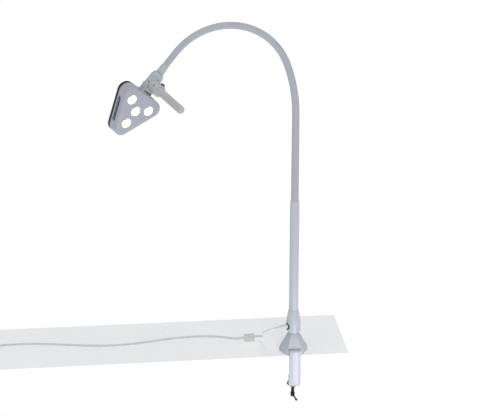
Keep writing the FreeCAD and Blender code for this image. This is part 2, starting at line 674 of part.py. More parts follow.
def build_yoke():
    place = head_place() * frame(V(0, HEAD_DROP, 0), X, Y)
    pieces = [block(V(-EAR_OUT, FOOT_LOW, -12.5), V(EAR_OUT, FOOT_HIGH, 12.5)),
              block(V(EAR_OUT - 1, FOOT_LOW, -4), V(23, FOOT_HIGH, 12.5))]
    for way in (-1, 1):
        a, b = sorted((EAR_IN * way, EAR_OUT * way))
        pieces.append(cyl(EAR_RADIUS, V(a, 0, 0), V(b, 0, 0)))
        pieces.append(block(V(a, FOOT_LOW + 1, -EAR_RADIUS), V(b, 0, EAR_RADIUS)))
    head_floor = 1.8 - EAR_OUT
    tools = [cyl(AXLE_RADIUS, V(-30, 0, 0), V(30, 0, 0)), cyl(3.0, V(0, -30, -8), V(0, -10, -8)),
             cyl(6.6, V(-30, 0, 0), V(head_floor, 0, 0))]
    tools += [cyl(2.0, V(x, FOOT_LOW - 1, 0), V(x, FOOT_HIGH + 1, 0)) for x in FOOT_SCREWS]
    node("head_yoke", bored(fused(pieces), tools), place)
    node("yoke_screws", [screw(V(x, FOOT_LOW - WALL, 0), V(x, FOOT_HIGH, 0), 2.0, 3.6, 2.2)
                         for x in FOOT_SCREWS], place)
    head_top = -EAR_OUT - 0.8
    node("tilt_axle", turned([(0, head_top), (5.5, head_top), (6.5, head_top + 0.8), (6.5, head_floor),
                              (AXLE_RADIUS, head_floor), (AXLE_RADIUS, EAR_OUT + 4.5),
                              (0, EAR_OUT + 4.5)], O, X, Y), place)
    nut = hex_prism(7.0, 0, 4.0).cut(cyl(AXLE_RADIUS, Z * -1, Z * 5))
    node("axle_nut", nut, place * Placement(V(EAR_OUT, 0, 0), Rotation(Y, 90)))
    washers = []
    for way in (-1, 1):
        a, b = sorted(((TONGUE_HALF + 0.1) * way, EAR_IN * way))
        ring = cyl(9.0, V(a, 0, 0), V(b, 0, 0)).cut(cyl(AXLE_RADIUS, V(-20, 0, 0), V(20, 0, 0)))
        washers.append(ring)
    node("friction_washers", washers, place)


# ---- the supply lead ----------------------------------------------------------------------
# The lead's route, from the plug's strain relief through the choke and along the table
# into the outer turn of the coil.
LEAD_ROUTE = [
    (-55.6, -20.2, 66.5), (-65.2, -18.6, 62.6), (-71.8, -10.6, 56.0), (-73.4, 2.0, 47.2),
    (-71.8, 16.8, 37.0), (-69.0, 31.2, 27.4), (-69.2, 44.6, 19.6), (-73.2, 53.6, 14.8),
    (-81.0, 59.5, 12.4), (-118.0, 64.8, 7.2), (-133.0, 71.0, 3.3), (-150.0, 80.5, 2.25),
    (-178.0, 91.0, 2.25), (-226.0, 97.0, 2.25), (-286.0, 91.0, 2.25), (-344.0, 77.0, 2.25),
    (-404.0, 67.0, 2.25), (-464.0, 68.0, 2.25), (-524.0, 78.0, 2.25), (-582.0, 91.0, 2.25),
    (-640.0, 98.0, 2.25), (-690.0, 97.0, 2.25), (-722.0, 93.6, 2.25), (-748.0, 93.0, 2.25),
]
CHOKE_RUN = 8               # the choke sits on the run that starts at this point
CHOKE_HALF = 12.5
CHOKE_RADIUS = 8.0

# The lead's tail, from the coil's top layer down and round into the adapter.
TAIL_ROUTE = [
    (-748.0, 93.0, 6.85), (-762.0, 93.6, 6.6), (-777.0, 93.8, 5.2), (-792.0, 91.5, 4.0),
    (-803.5, 84.5, 4.6), (-810.0, 74.0, 6.0), (-810.0, 62.0, 6.0),
]


def lead_wire(points, name):
    """Straight runs joined by tangent arcs, each as large as its two runs allow."""
    edges = []
    here = points[0]
    radii = []
    for k in range(1, len(points) - 1):
        before, corner, after = points[k - 1], points[k], points[k + 1]
        into, away = corner - before, after - corner
        turn = into.getAngle(away)
        reach = 0.45 * min(into.Length, away.Length)
        radii.append(reach / math.tan(turn / 2))
        into.normalize()
        away.normalize()
        first, last = corner - into * reach, corner + away * reach
        bulge = (away - into).normalize()
        sag = radii[-1] / math.cos(turn / 2) - radii[-1]
        edges.append(Part.LineSegment(here, first).toShape())
        edges.append(Part.Arc(first, corner + bulge * sag, last).toShape())
        here = last
    edges.append(Part.LineSegment(here, points[-1]).toShape())
    print(name, "radii", [round(r, 1) for r in radii])
    return Part.Wire(edges)


def lead_tube(points, name):
    wire = lead_wire(points, name)
    ring = Part.Wire(Part.makeCircle(LEAD_RADIUS, points[0], points[1] - points[0]))
    tube = wire.makePipeShell([ring], True, False)
    print(name, "length", round(wire.Length, 1), "volume", round(tube.Volume, 1),
          "section times length", round(math.pi * LEAD_RADIUS ** 2 * wire.Length, 1))
    node(name, tube)


def build_lead(plug_centre, plug_out):
    route = [V(*p) for p in LEAD_ROUTE]
    start = plug_centre + plug_out * (PLUG_END + LEAD_GAP)
    lead_tube([start] + route, "supply_lead")

    before, after = route[CHOKE_RUN], route[CHOKE_RUN + 1]
    centre = (before + after) * 0.5
    reach = (after - before).normalize() * CHOKE_HALF
    choke = cyl(CHOKE_RADIUS, centre - reach, centre + reach)
    hole = cyl(LEAD_RADIUS + FIT, centre - reach * 2, centre + reach * 2)
    node("lead_choke", choke.cut(hole))


ADAPTER_SIZE = V(62, 34, 26)
RELIEF_LENGTH = 14.0
PIN_LENGTH = 17.0
PIN_HEIGHTS = (7.0, 19.0)


def adapter_place():
    """The adapter's middle on the table, its long side along Y, its relief on the tail's end."""
    end = V(*TAIL_ROUTE[-1])
    return Placement(V(end.x, end.y - RELIEF_LENGTH - ADAPTER_SIZE.x / 2, 0), Rotation(Z, 90))


def build_coil_and_adapter():
    outer = COIL_OUTER + LEAD_RADIUS
    inner = COIL_OUTER - COIL_PITCH * COIL_LAYER_TURNS - LEAD_RADIUS
    top = 2 * LEAD_RADIUS + COIL_PITCH
    centre = V(COIL_X, COIL_Y, 0)
    coil = turned([(inner, 0), (outer, 0), (outer, top), (inner, top)], centre)
    tie_width, tie_wall = 5.0, 0.8
    band = block(centre + V(-tie_width / 2, -outer - tie_wall, 0),
                 centre + V(tie_width / 2, -inner + tie_wall, top + tie_wall))
    node("lead_coil", coil)
    node("coil_tie", band.cut(coil))

    tail = [V(*p) for p in TAIL_ROUTE]
    lead_tube(tail, "lead_tail")
    half = ADAPTER_SIZE * 0.5
    place = adapter_place()
    body = block(V(-half.x, -half.y, 0), V(half.x, half.y, ADAPTER_SIZE.z))
    body = body.makeFillet(3.0, body.Edges)
    height = tail[-1].z
    relief = cone(3.6, 2.5, V(half.x - 1, 0, height), V(half.x + RELIEF_LENGTH, 0, height))
    node("power_adapter", fused([body, relief]), place)
    pins = [cyl(2.0, V(-half.x, 0, z), V(-half.x - PIN_LENGTH, 0, z)) for z in PIN_HEIGHTS]
    node("adapter_pins", pins, place)


# ---- the whole lamp -----------------------------------------------------------------------
def main():
    screw_places = build_base()
    build_bracket(screw_places)
    build_clamp_screw()
    plug_centre, plug_out = build_pole()
    build_flexible_arm()
    build_knuckle()
    build_front_housing()
    build_rear_cover()
    build_head_light()
    build_keypad()
    build_yoke()
    build_lead(plug_centre, plug_out)
    build_coil_and_adapter()

    os.makedirs("parts", exist_ok=True)
    for name, shape in NODES.items():
        shape.exportStep(os.path.join("parts", name + ".step"))
        box = shape.BoundBox
        print("%-22s solids %d valid %s volume %.1f  x %.1f..%.1f y %.1f..%.1f z %.1f..%.1f" % (
            name, len(shape.Solids), shape.isValid(), shape.Volume,
            box.XMin, box.XMax, box.YMin, box.YMax, box.ZMin, box.ZMax))
    print(len(NODES), "nodes")


main()
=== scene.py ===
import json
import math

import bmesh
import bpy
from mathutils import Matrix, Vector


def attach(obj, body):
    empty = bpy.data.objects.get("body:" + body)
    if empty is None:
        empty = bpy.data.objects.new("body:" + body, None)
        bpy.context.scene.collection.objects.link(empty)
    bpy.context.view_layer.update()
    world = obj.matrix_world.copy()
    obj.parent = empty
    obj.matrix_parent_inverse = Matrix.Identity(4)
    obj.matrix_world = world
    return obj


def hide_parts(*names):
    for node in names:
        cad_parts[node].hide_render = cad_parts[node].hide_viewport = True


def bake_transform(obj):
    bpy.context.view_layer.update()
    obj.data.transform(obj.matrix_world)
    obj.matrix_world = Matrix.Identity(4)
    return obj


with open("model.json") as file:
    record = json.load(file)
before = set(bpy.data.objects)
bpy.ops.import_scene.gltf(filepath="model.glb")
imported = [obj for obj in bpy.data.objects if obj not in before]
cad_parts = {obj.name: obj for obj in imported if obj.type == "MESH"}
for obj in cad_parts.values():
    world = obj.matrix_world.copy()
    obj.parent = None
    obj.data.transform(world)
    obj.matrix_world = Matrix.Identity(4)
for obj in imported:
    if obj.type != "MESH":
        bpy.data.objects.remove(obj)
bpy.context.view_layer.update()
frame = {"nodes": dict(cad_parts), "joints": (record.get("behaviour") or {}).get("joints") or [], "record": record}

# Shapes are written in millimetres and their places in metres. A piece's own frame is the
# world's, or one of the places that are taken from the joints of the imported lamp: KNUCKLE,
# HANDLE, YOKE and HEAD.
MM = 0.001
X, Y, Z = Vector((1, 0, 0)), Vector((0, 1, 0)), Vector((0, 0, 1))


# ---- places -------------------------------------------------------------------------------
def axes_at(origin, x_axis, y_axis):
    """The place with its origin, in metres, and two square axes."""
    place = Matrix.Identity(4)
    for column, vector in enumerate((x_axis, y_axis, x_axis.cross(y_axis), origin)):
        for row in range(3):
            place[row][column] = vector[row]
    return place


def joint(name):
    return next(j for j in frame["joints"] if j["name"] == name)


WORLD = Matrix.Identity(4)
TILT = joint("head_tilt")
NECK = joint("neck_swivel")
SIDE = Vector(TILT["axis"]).normalized()
UP = Vector(NECK["axis"]).normalized()
TILT_AT = Vector(TILT["pos_m"])
TILT_DROP, HEAD_DROP = 6.0, 59.2
KNUCKLE = axes_at(TILT_AT + UP * TILT_DROP * MM, SIDE, UP)
HEAD = axes_at(TILT_AT - UP * HEAD_DROP * MM, SIDE, UP)


def polar(radius, degrees, height=0.0):
    turn = math.radians(degrees)
    return Vector((radius * math.cos(turn), radius * math.sin(turn), height))


# ---- shapes, as lists of points and faces -------------------------------------------------
def soften(points, radius, closed=True, steps=4):
    """The same outline with its corners rounded. radius is one number, or one for each point."""
    radii = radius if isinstance(radius, (list, tuple)) else [radius] * len(points)
    made = []
    count = len(points)
    for k, corner in enumerate(points):
        if not closed and k in (0, count - 1):
            made.append(corner)
            continue
        here = Vector(corner)
        before, after = Vector(points[k - 1]), Vector(points[(k + 1) % count])
        into, away = before - here, after - here
        reach = min(radii[k], into.length * 0.45, away.length * 0.45)
        if reach < 0.01:
            made.append(corner)
            continue
        first, last = here + into.normalized() * reach, here + away.normalized() * reach
        for step in range(steps + 1):
            share = step / steps
            blend = first.lerp(here, share).lerp(here.lerp(last, share), share)
            made.append(tuple(blend))
    return made


def loft(rings, closed=False):
    """Faces between rings of equally many points, in order along the shape. Ends are capped."""
    points, faces = [], []
    size = len(rings[0])
    for ring in rings:
        points += [tuple(p) for p in ring]
    spans = len(rings) if closed else len(rings) - 1
    for k in range(spans):
        a, b = k * size, ((k + 1) % len(rings)) * size
        for i in range(size):
            j = (i + 1) % size
            faces.append((a + i, a + j, b + j, b + i))
    if not closed:
        faces.append(tuple(reversed(range(size))))
        faces.append(tuple(range((len(rings) - 1) * size, len(rings) * size)))
    return points, faces


def lathe(profile, soft=0.0, steps=72, ring=False, wave=None):
    """A turned shape about z, from (radius, height) points. A ring's profile is a closed loop."""
    outline = soften(profile, soft, closed=ring) if soft else profile
    rings = []
    for radius, height in outline:
        circle = []
        for k in range(steps):
            turn = 360 * k / steps
            reach = radius + (wave(radius, turn) if wave else 0.0)
            circle.append(polar(reach, turn, height))
        rings.append(circle)
    return loft(rings, closed=ring)


def prism(outline, low, high):
    """An outline in x and y, raised from low to high."""
    return loft([[(x, y, low) for x, y in outline], [(x, y, high) for x, y in outline]])


def box_shape(low, high):
    outline = [(low[0], low[1]), (high[0], low[1]), (high[0], high[1]), (low[0], high[1])]
    return prism(outline, low[2], high[2])


def sweep(line, radius_at, sides=40):
    """A round rod along a line of points, each ring square to the line."""
    rings = []
    last = len(line) - 1
    ahead = (line[1] - line[0]).normalized()
    across = ahead.orthogonal().normalized()
    for k, point in enumerate(line):
        along = (line[min(k + 1, last)] - line[max(k - 1, 0)]).normalized()
        across = (across - along * across.dot(along)).normalized()
        third = along.cross(across)
        radius = radius_at(k / last)
        ring = []
        for i in range(sides):
            turn = 2 * math.pi * i / sides
            ring.append(point + (across * math.cos(turn) + third * math.sin(turn)) * radius)
        rings.append(ring)
    return loft(rings)


def moved(shape, matrix):
    points, faces = shape
    return [tuple(matrix @ Vector(p)) for p in points], faces


def joined(shapes):
    points, faces = [], []
    for more_points, more_faces in shapes:
        start = len(points)
        points += more_points
        faces += [tuple(i + start for i in face) for face in more_faces]
    return points, faces


def facing(axis, origin=(0, 0, 0)):
    """Turns a shape's z axis to another direction, about an origin in millimetres."""
    turn = Vector(axis).to_track_quat("Z", "Y").to_matrix().to_4x4()
    return Matrix.Translation(Vector(origin)) @ turn


# ---- pieces -------------------------------------------------------------------------------
def face_outwards(mesh):
    """Welds points that fall together and turns every face outwards."""
    work = bmesh.new()
    work.from_mesh(mesh)
    bmesh.ops.remove_doubles(work, verts=work.verts, dist=0.002 * MM)
    bmesh.ops.recalc_face_normals(work, faces=work.faces)
    work.to_mesh(mesh)
    work.free()


def new_object(name, shape, place):
    points, faces = shape
    mesh = bpy.data.meshes.new(name)
    mesh.from_pydata([place @ (Vector(p) * MM) for p in points], [], faces)
    face_outwards(mesh)
    obj = bpy.data.objects.new(name, mesh)
    bpy.context.scene.collection.objects.link(obj)
    return obj


def with_modifiers(obj):
    """Keeps what the object's modifiers made, and drops the modifiers."""
    graph = bpy.context.evaluated_depsgraph_get()
    made = bpy.data.meshes.new_from_object(obj.evaluated_get(graph))
    obj.modifiers.clear()
    obj.data = made


def bevelled(obj, width, degrees=30, segments=3):
    modifier = obj.modifiers.new("edges", "BEVEL")
    modifier.width = width * MM
    modifier.segments = segments
    modifier.limit_method = "ANGLE"
    modifier.angle_limit = math.radians(degrees)
    with_modifiers(obj)


def carved(obj, cutters):
    """Cuts each shape in cutters, placed in metres already, out of the object."""
    for cutter in cutters:
        modifier = obj.modifiers.new("cut", "BOOLEAN")
        modifier.operation = "DIFFERENCE"
        modifier.solver = "MANIFOLD"
        modifier.object = cutter
        with_modifiers(obj)
        bpy.data.objects.remove(cutter)


def shown(obj, body, slot, nodes=(), degrees=32):
    """Finishes a piece: outward faces, shading, material, and the body it rides on."""
    mesh = obj.data
    face_outwards(mesh)
    mesh.shade_smooth()
    mesh.set_sharp_from_angle(angle=math.radians(degrees))
    mesh.materials.clear()
    mesh.materials.append(MATERIALS[slot])
    if body:
        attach(obj, body)
    if nodes:
        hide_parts(*nodes)
    return obj


def make(name, shape, body, slot, place=WORLD, nodes=(), bevel=0.0, degrees=32):
    obj = new_object(name, shape, place)
    if bevel:
        bevelled(obj, bevel)
    return shown(obj, body, slot, nodes, degrees)


# ---- camera -------------------------------------------------------------------------------
SENSOR_WIDTH, LENS, CLIP_END = 36.0, 104.4, 60.0
CAMERA_AT = (-0.4378, -3.1152, 1.5343)
CAMERA_PITCH, CAMERA_YAW = 69.581, -6.115


def make_camera():
    data = bpy.data.cameras.new("camera")
    data.sensor_width = SENSOR_WIDTH
    data.lens = LENS
    data.clip_end = CLIP_END
    camera = bpy.data.objects.new("camera", data)
    camera.location = CAMERA_AT
    camera.rotation_euler = (math.radians(CAMERA_PITCH), 0.0, math.radians(CAMERA_YAW))
    bpy.context.scene.collection.objects.link(camera)
    bpy.context.scene.camera = camera


# ---- materials ----------------------------------------------------------------------------
MATERIALS = {}


def set_sockets(shader, values):
    for name, value in values.items():
        shader.inputs[name].default_value = value


def finish(slot, colour, rough, metallic=0.0, tint=0.04, cloud=25.0, grain=1800.0, relief=0.02,
           rough_spread=0.08, stretch=(1, 1, 1), edge=0.4, specks=0.0, **sockets):
    """A procedural surface. Lengths are in millimetres, and scales are per metre.

    tint and cloud are the strength and scale of the slow change of colour, grain and relief the
    scale and height of the fine texture, edge the radius at which edges catch the light.
    """
    material = bpy.data.materials.new(slot)
    material.use_nodes = True
    tree = material.node_tree
    shader = tree.nodes["Principled BSDF"]
    shader.inputs["Metallic"].default_value = metallic
    set_sockets(shader, sockets)
    add, link = tree.nodes.new, tree.links.new

    where = add("ShaderNodeTexCoord")
    mapping = add("ShaderNodeMapping")
    mapping.inputs["Scale"].default_value = stretch
    link(where.outputs["Object"], mapping.inputs["Vector"])

    slow = add("ShaderNodeTexNoise")
    set_sockets(slow, {"Scale": cloud, "Detail": 3.0, "Roughness": 0.55})
    link(where.outputs["Object"], slow.inputs["Vector"])
    ramp = add("ShaderNodeValToRGB")
    dark, light = (tuple(min(1.0, c * s) for c in colour) + (1,) for s in (1 - tint, 1 + tint))
    ramp.color_ramp.elements[0].position, ramp.color_ramp.elements[1].position = 0.3, 0.7
    ramp.color_ramp.elements[0].color, ramp.color_ramp.elements[1].color = dark, light
    link(slow.outputs["Fac"], ramp.inputs["Fac"])
    colour_out = ramp.outputs["Color"]

    fine = add("ShaderNodeTexNoise")
    set_sockets(fine, {"Scale": grain, "Detail": 2.0, "Roughness": 0.6})
    link(mapping.outputs["Vector"], fine.inputs["Vector"])
    if specks:
        spread = add("ShaderNodeValToRGB")
        spread.color_ramp.elements[0].position, spread.color_ramp.elements[1].position = 0.35, 0.6
        spread.color_ramp.elements[0].color = (1 - specks,) * 3 + (1,)
        link(fine.outputs["Fac"], spread.inputs["Fac"])
        mixed = add("ShaderNodeMix")
        mixed.data_type, mixed.blend_type = "RGBA", "MULTIPLY"
        mixed.inputs["Factor"].default_value = 1.0
        link(colour_out, mixed.inputs["A"])
        link(spread.outputs["Color"], mixed.inputs["B"])
        colour_out = mixed.outputs["Result"]
    link(colour_out, shader.inputs["Base Color"])

    gloss = add("ShaderNodeMapRange")
    set_sockets(gloss, {"To Min": max(0.02, rough - rough_spread), "To Max": min(1.0, rough + rough_spread)})
    link(fine.outputs["Fac"], gloss.inputs["Value"])
    link(gloss.outputs["Result"], shader.inputs["Roughness"])

    soft_edge = add("ShaderNodeBevel")
    soft_edge.samples = 4
    soft_edge.inputs["Radius"].default_value = edge * MM
    bump = add("ShaderNodeBump")
    set_sockets(bump, {"Strength": 0.6, "Distance": relief * MM})
    link(fine.outputs["Fac"], bump.inputs["Height"])
    link(soft_edge.outputs["Normal"], bump.inputs["Normal"])
    link(bump.outputs["Normal"], shader.inputs["Normal"])
    MATERIALS[slot] = material
    return material


def make_materials():
    finish("white_enamel", (0.47, 0.504, 0.563), 0.36, tint=0.02, grain=900.0, relief=0.004,
           specks=0.03, **{"Coat Weight": 0.2, "Coat Roughness": 0.2})
    finish("arm_sleeve", (0.41, 0.435, 0.475), 0.62, tint=0.03, grain=1400.0, relief=0.01,
           rough_spread=0.06, specks=0.05)
    finish("cast_grey", (0.45, 0.475, 0.51), 0.45, tint=0.04, grain=1100.0, relief=0.006, specks=0.05)
    finish("housing_grey", (0.395, 0.407, 0.47), 0.42, tint=0.025, grain=2200.0, relief=0.004, specks=0.04)
    finish("grip_grey", (0.46, 0.465, 0.48), 0.48, tint=0.03, grain=1600.0, relief=0.005, specks=0.04)
    finish("black_cover", (0.018, 0.018, 0.03), 0.38, metallic=0.4, tint=0.2, grain=1500.0, relief=0.02)
    finish("panel_navy", (0.03, 0.055, 0.10), 0.35, tint=0.12, grain=3000.0, relief=0.01)
    finish("key_light", (0.10, 0.15, 0.22), 0.4, tint=0.04, grain=2500.0, relief=0.01)
    finish("lens_clear", (0.95, 0.96, 1.0), 0.18, tint=0.02, grain=700.0, relief=0.05,
           **{"Emission Color": (1.0, 0.99, 0.97, 1.0), "Emission Strength": 1.3})
    finish("light_source", (0.98, 0.95, 0.8), 0.4, tint=0.05,
           **{"Emission Color": (1.0, 0.97, 0.88, 1.0), "Emission Strength": 6.0})
    finish("reflector_bright", (0.85, 0.86, 0.88), 0.12, metallic=1.0, tint=0.03)
    finish("circuit_board", (0.02, 0.13, 0.06), 0.4, tint=0.2, cloud=120.0)
    finish("steel_bright", (0.56, 0.57, 0.59), 0.28, metallic=1.0, tint=0.05, grain=900.0,
           stretch=(1, 1, 8), relief=0.02)
    finish("steel_dark", (0.028, 0.028, 0.032), 0.35, metallic=0.7, tint=0.3, cloud=90.0,
           grain=1300.0, relief=0.03)
    finish("black_rubber", (0.02, 0.02, 0.02), 0.75, tint=0.2, grain=2500.0, relief=0.06)
    finish("black_plastic", (0.035, 0.036, 0.04), 0.42, tint=0.2, grain=2000.0, relief=0.03)
    finish("bearing_plastic", (0.66, 0.66, 0.62), 0.5, tint=0.04, grain=1500.0, relief=0.02)
    finish("bronze", (0.45, 0.29, 0.11), 0.4, metallic=1.0, tint=0.12, grain=1500.0, relief=0.03)
    finish("lead_white", (0.70, 0.69, 0.655), 0.5, tint=0.04, cloud=40.0, grain=1500.0, relief=0.03,
           **{"Sheen Weight": 0.1})
    finish("lead_moulding", (0.70, 0.69, 0.67), 0.42, tint=0.03, grain=1800.0, relief=0.02, specks=0.05)


def paint_frame():
    """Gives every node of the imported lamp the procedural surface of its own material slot."""
    slots = {part["node"]: part["material_slot"] for part in frame["record"]["subparts"]}
    for name, obj in frame["nodes"].items():
        obj.data.materials.clear()
        obj.data.materials.append(MATERIALS[slots[name]])


# ---- the supply lead ----------------------------------------------------------------------
SOCKET_YAW, SOCKET_HEIGHT = 20.0, 66.5
PLUG_END = 48.0
LEAD_RADIUS = 2.25
COIL_CENTRE = Vector((-748.0, 62.0, 0.0))
COIL_OUTER, COIL_PITCH = 31.0, 4.6
COIL_LAYER_TURNS, COIL_CLIMB_TURNS = 2.875, 0.25
COIL_STEPS = 16             # points in each turn
CHOKE_RUN = 8               # the run of the route that the choke sits on
CHOKE_RADIUS, CHOKE_LENGTH = 8.0, 25.0
ADAPTER_HALF = Vector((17.0, 31.0, 13.0))
ADAPTER_SEAM, ADAPTER_LIP, ADAPTER_RELIEF = 17.0, 0.25, 14.0
PLUG_START, PLUG_RADIUS = 11.6, 5.3

LEAD_ROUTE = [
    (-0.0556, -0.0202, 0.0665), (-0.0652, -0.0186, 0.0626), (-0.0718, -0.0106, 0.0560),
    (-0.0734, 0.0020, 0.0472), (-0.0718, 0.0168, 0.0370), (-0.0690, 0.0312, 0.0274),
    (-0.0692, 0.0446, 0.0196), (-0.0732, 0.0536, 0.0148), (-0.0810, 0.0595, 0.0124),
    (-0.1180, 0.0648, 0.0072), (-0.1330, 0.0710, 0.0033), (-0.1500, 0.0805, 0.00225),
    (-0.1780, 0.0910, 0.00225), (-0.2260, 0.0970, 0.00225), (-0.2860, 0.0910, 0.00225),
    (-0.3440, 0.0770, 0.00225), (-0.4040, 0.0670, 0.00225), (-0.4640, 0.0680, 0.00225),
    (-0.5240, 0.0780, 0.00225), (-0.5820, 0.0910, 0.00225), (-0.6400, 0.0980, 0.00225),
    (-0.6900, 0.0970, 0.00225), (-0.7220, 0.0936, 0.00225), (-0.7480, 0.0930, 0.00225),
]
TAIL_ROUTE = [
    (-0.7480, 0.0930, 0.00685), (-0.7620, 0.0936, 0.0066), (-0.7770, 0.0938, 0.0052),
    (-0.7920, 0.0915, 0.0040), (-0.8035, 0.0845, 0.0046), (-0.8100, 0.0740, 0.0060),
    (-0.8100, 0.0620, 0.0060),
]


def socket_line():
    """The supply socket's centre, in millimetres, and the way it points."""
    yaw = math.radians(SOCKET_YAW)
    return Vector((0, 0, SOCKET_HEIGHT)), Vector((-math.cos(yaw), -math.sin(yaw), 0))


def coil_route():
    """The coil's turns, inwards on the table, up, and outwards on top of them."""
    route = []
    total = 2 * COIL_LAYER_TURNS + COIL_CLIMB_TURNS
    spread = 1 / math.cos(math.pi / COIL_STEPS)
    for step in range(1, round(total * COIL_STEPS)):
        turns = step / COIL_STEPS
        inward = min(turns, COIL_LAYER_TURNS)
        outward = max(0.0, turns - COIL_LAYER_TURNS - COIL_CLIMB_TURNS)
        share = min(1.0, max(0.0, (turns - COIL_LAYER_TURNS) / COIL_CLIMB_TURNS))
        reach = (COIL_OUTER - COIL_PITCH * (inward - outward)) * spread
        height = LEAD_RADIUS + COIL_PITCH * share * share * (3 - 2 * share)
        route.append((COIL_CENTRE + polar(reach, 90 + 360 * turns, height)) * MM)
    return route


def smooth_line(points, resolution):
    """The points of one smooth line through a route."""
    curve = bpy.data.curves.new("route", "CURVE")
    curve.dimensions = "3D"
    spline = curve.splines.new("NURBS")
    spline.points.add(len(points) - 1)
    for target, point in zip(spline.points, points):
        target.co = (*point, 1.0)
    spline.order_u = 3
    spline.use_endpoint_u = True
    spline.resolution_u = resolution
    holder = bpy.data.objects.new("route", curve)
    bpy.context.scene.collection.objects.link(holder)
    graph = bpy.context.evaluated_depsgraph_get()
    mesh = bpy.data.meshes.new_from_object(holder.evaluated_get(graph))
    line = [v.co.copy() for v in mesh.vertices]
    bpy.data.objects.remove(holder)
    return line


def make_lead():
    centre, out = socket_line()
    start = (centre + out * PLUG_END) * MM
    line = smooth_line([start, *LEAD_ROUTE, *coil_route(), *TAIL_ROUTE], 8)
    shape = sweep([p / MM for p in line], lambda share: LEAD_RADIUS, sides=16)
    lead = make("lead", shape, None, "lead_white", nodes=("supply_lead", "lead_coil", "lead_tail"))
    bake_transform(lead)

    before, after = (Vector(LEAD_ROUTE[CHOKE_RUN + k]) / MM for k in (0, 1))
    bore, radius, half = LEAD_RADIUS + 0.1, CHOKE_RADIUS, CHOKE_LENGTH / 2
    shell = [(bore, -half), (bore + 2.2, -half), (radius, -half + 0.6), (radius, -0.35),
             (radius - 0.3, -0.2), (radius - 0.3, 0.2), (radius, 0.35), (radius, half - 0.6),
             (bore + 2.2, half), (bore, half)]
    outline = soften(shell, [0, 1.2, 2.2, 0.1, 0, 0, 0.1, 2.2, 1.2, 0])
    turned = moved(lathe(outline, ring=True, steps=56), facing(after - before, (before + after) / 2))
    choke = make("choke", turned, "base", "lead_moulding", nodes=("lead_choke",))

    parts = [choke, frame["nodes"]["coil_tie"], *make_adapter(), make_plug(centre, out)]


def make_adapter():
    """The supply's own mains plug: a soft-edged block with a seam, a ribbed relief and pins."""
    half, seam, lip = ADAPTER_HALF, ADAPTER_SEAM, ADAPTER_LIP
    relief_end = Vector(TAIL_ROUTE[-1]) / MM
    middle = Vector((relief_end.x, relief_end.y - ADAPTER_RELIEF - half.y, 0))
    corners = [(-half.x, -half.y), (half.x, -half.y), (half.x, half.y), (-half.x, half.y)]

    def ring(inset, height):
        flat = [(x - math.copysign(inset, x), y - math.copysign(inset, y)) for x, y in corners]
        return [(x, y, height) for x, y in soften(flat, 4.0, steps=6)]

    levels = [(2.2, 0.0), (0.9, 0.35), (0.25, 1.1), (0.0, 2.4), (0.0, seam - 0.4), (lip, seam - 0.25),
              (lip, seam + 0.25), (0.0, seam + 0.4), (0.0, 23.6), (0.25, 24.9), (0.9, 25.65), (2.2, 26.0)]
    block = loft([ring(inset, height) for inset, height in levels])
    body = make("adapter_body", moved(block, Matrix.Translation(middle)), "base", "lead_moulding",
                nodes=("power_adapter",))
    ribs = [(0, -1), (3.6, -1)]
    for k in range(5):
        low = 1.0 + 2.4 * k
        wide = 3.5 - 0.17 * k
        ribs += [(wide, low), (wide, low + 1.4), (wide - 0.7, low + 1.5), (wide - 0.7, low + 2.3)]
    ribs += [(2.6, ADAPTER_RELIEF - 0.6), (LEAD_RADIUS + 0.05, ADAPTER_RELIEF), (0, ADAPTER_RELIEF)]
    relief_at = Vector((relief_end.x, relief_end.y - ADAPTER_RELIEF, relief_end.z))
    relief = make("adapter_relief", moved(lathe(ribs, steps=32), facing(Y, relief_at)), "base",
                  "lead_moulding")
    return [body, relief, frame["nodes"]["adapter_pins"]]


def make_plug(centre, out):
    """The supply plug in the boot's socket: a sleeve with a grip and a ribbed, tapering relief."""
    profile = [(0, PLUG_START), (PLUG_RADIUS, PLUG_START), (PLUG_RADIUS, 19.0)]
    for k in range(4):
        low = 20.0 + 2.2 * k
        profile += [(5.25, low), (4.75, low + 0.3), (4.75, low + 1.1), (5.25, low + 1.4)]
    profile += [(5.2, 30.0), (5.1, 33.5), (4.5, 35.0)]
    for k in range(4):
        low = 36.0 + 2.7 * k
        wide = 4.4 - 0.42 * k
        profile += [(wide, low), (wide - 0.1, low + 1.5), (wide - 0.6, low + 1.7), (wide - 0.7, low + 2.5)]
    profile += [(2.6, PLUG_END - 0.6), (LEAD_RADIUS + 0.03, PLUG_END), (0, PLUG_END)]
    shape = moved(lathe(profile, soft=0.25, steps=48), facing(out, centre))
    return make("plug", shape, "pole", "lead_moulding", nodes=("supply_plug",))


# ---- the base and its clamp ---------------------------------------------------------------
BASE_CORNER, BASE_SKIRT, BASE_TOP, BASE_NECK = 34.0, 11.0, 48.0, 13.5
TABLE_THICKNESS, TABLE_EDGE = 22.0, 31.0
STRAP_WIDTH, STRAP_THICK = 27.0, 6.0
JAW_FLOOR, ARM_FLOOR = -71.0, -80.0
FLANGE_LOW, FLANGE_HIGH = 9.0, 15.0
FLANGE_BACK, ARM_BACK = 20.0, 15.0
STRAP_BEND, NUT_HOLE = 6.0, 9.05


def make_base():
    def ring(corner, height):
        return [polar(corner, 60 * k, height) for k in range(6)]

    levels = [(BASE_CORNER - 1.0, 0.5), (BASE_CORNER, 1.5), (BASE_CORNER, BASE_SKIRT),
              (BASE_NECK, BASE_TOP)]
    base = new_object("base_shell", loft([ring(c, h) for c, h in levels]), WORLD)
    bevelled(base, 1.6, degrees=18, segments=4)
    half = STRAP_WIDTH / 2 + 0.5
    slot = new_object("slot", box_shape((-half, -45, -3), (half, -5, FLANGE_HIGH + 0.6)), WORLD)
    carved(base, [slot])
    shown(base, "base", "white_enamel", ("base_housing",))


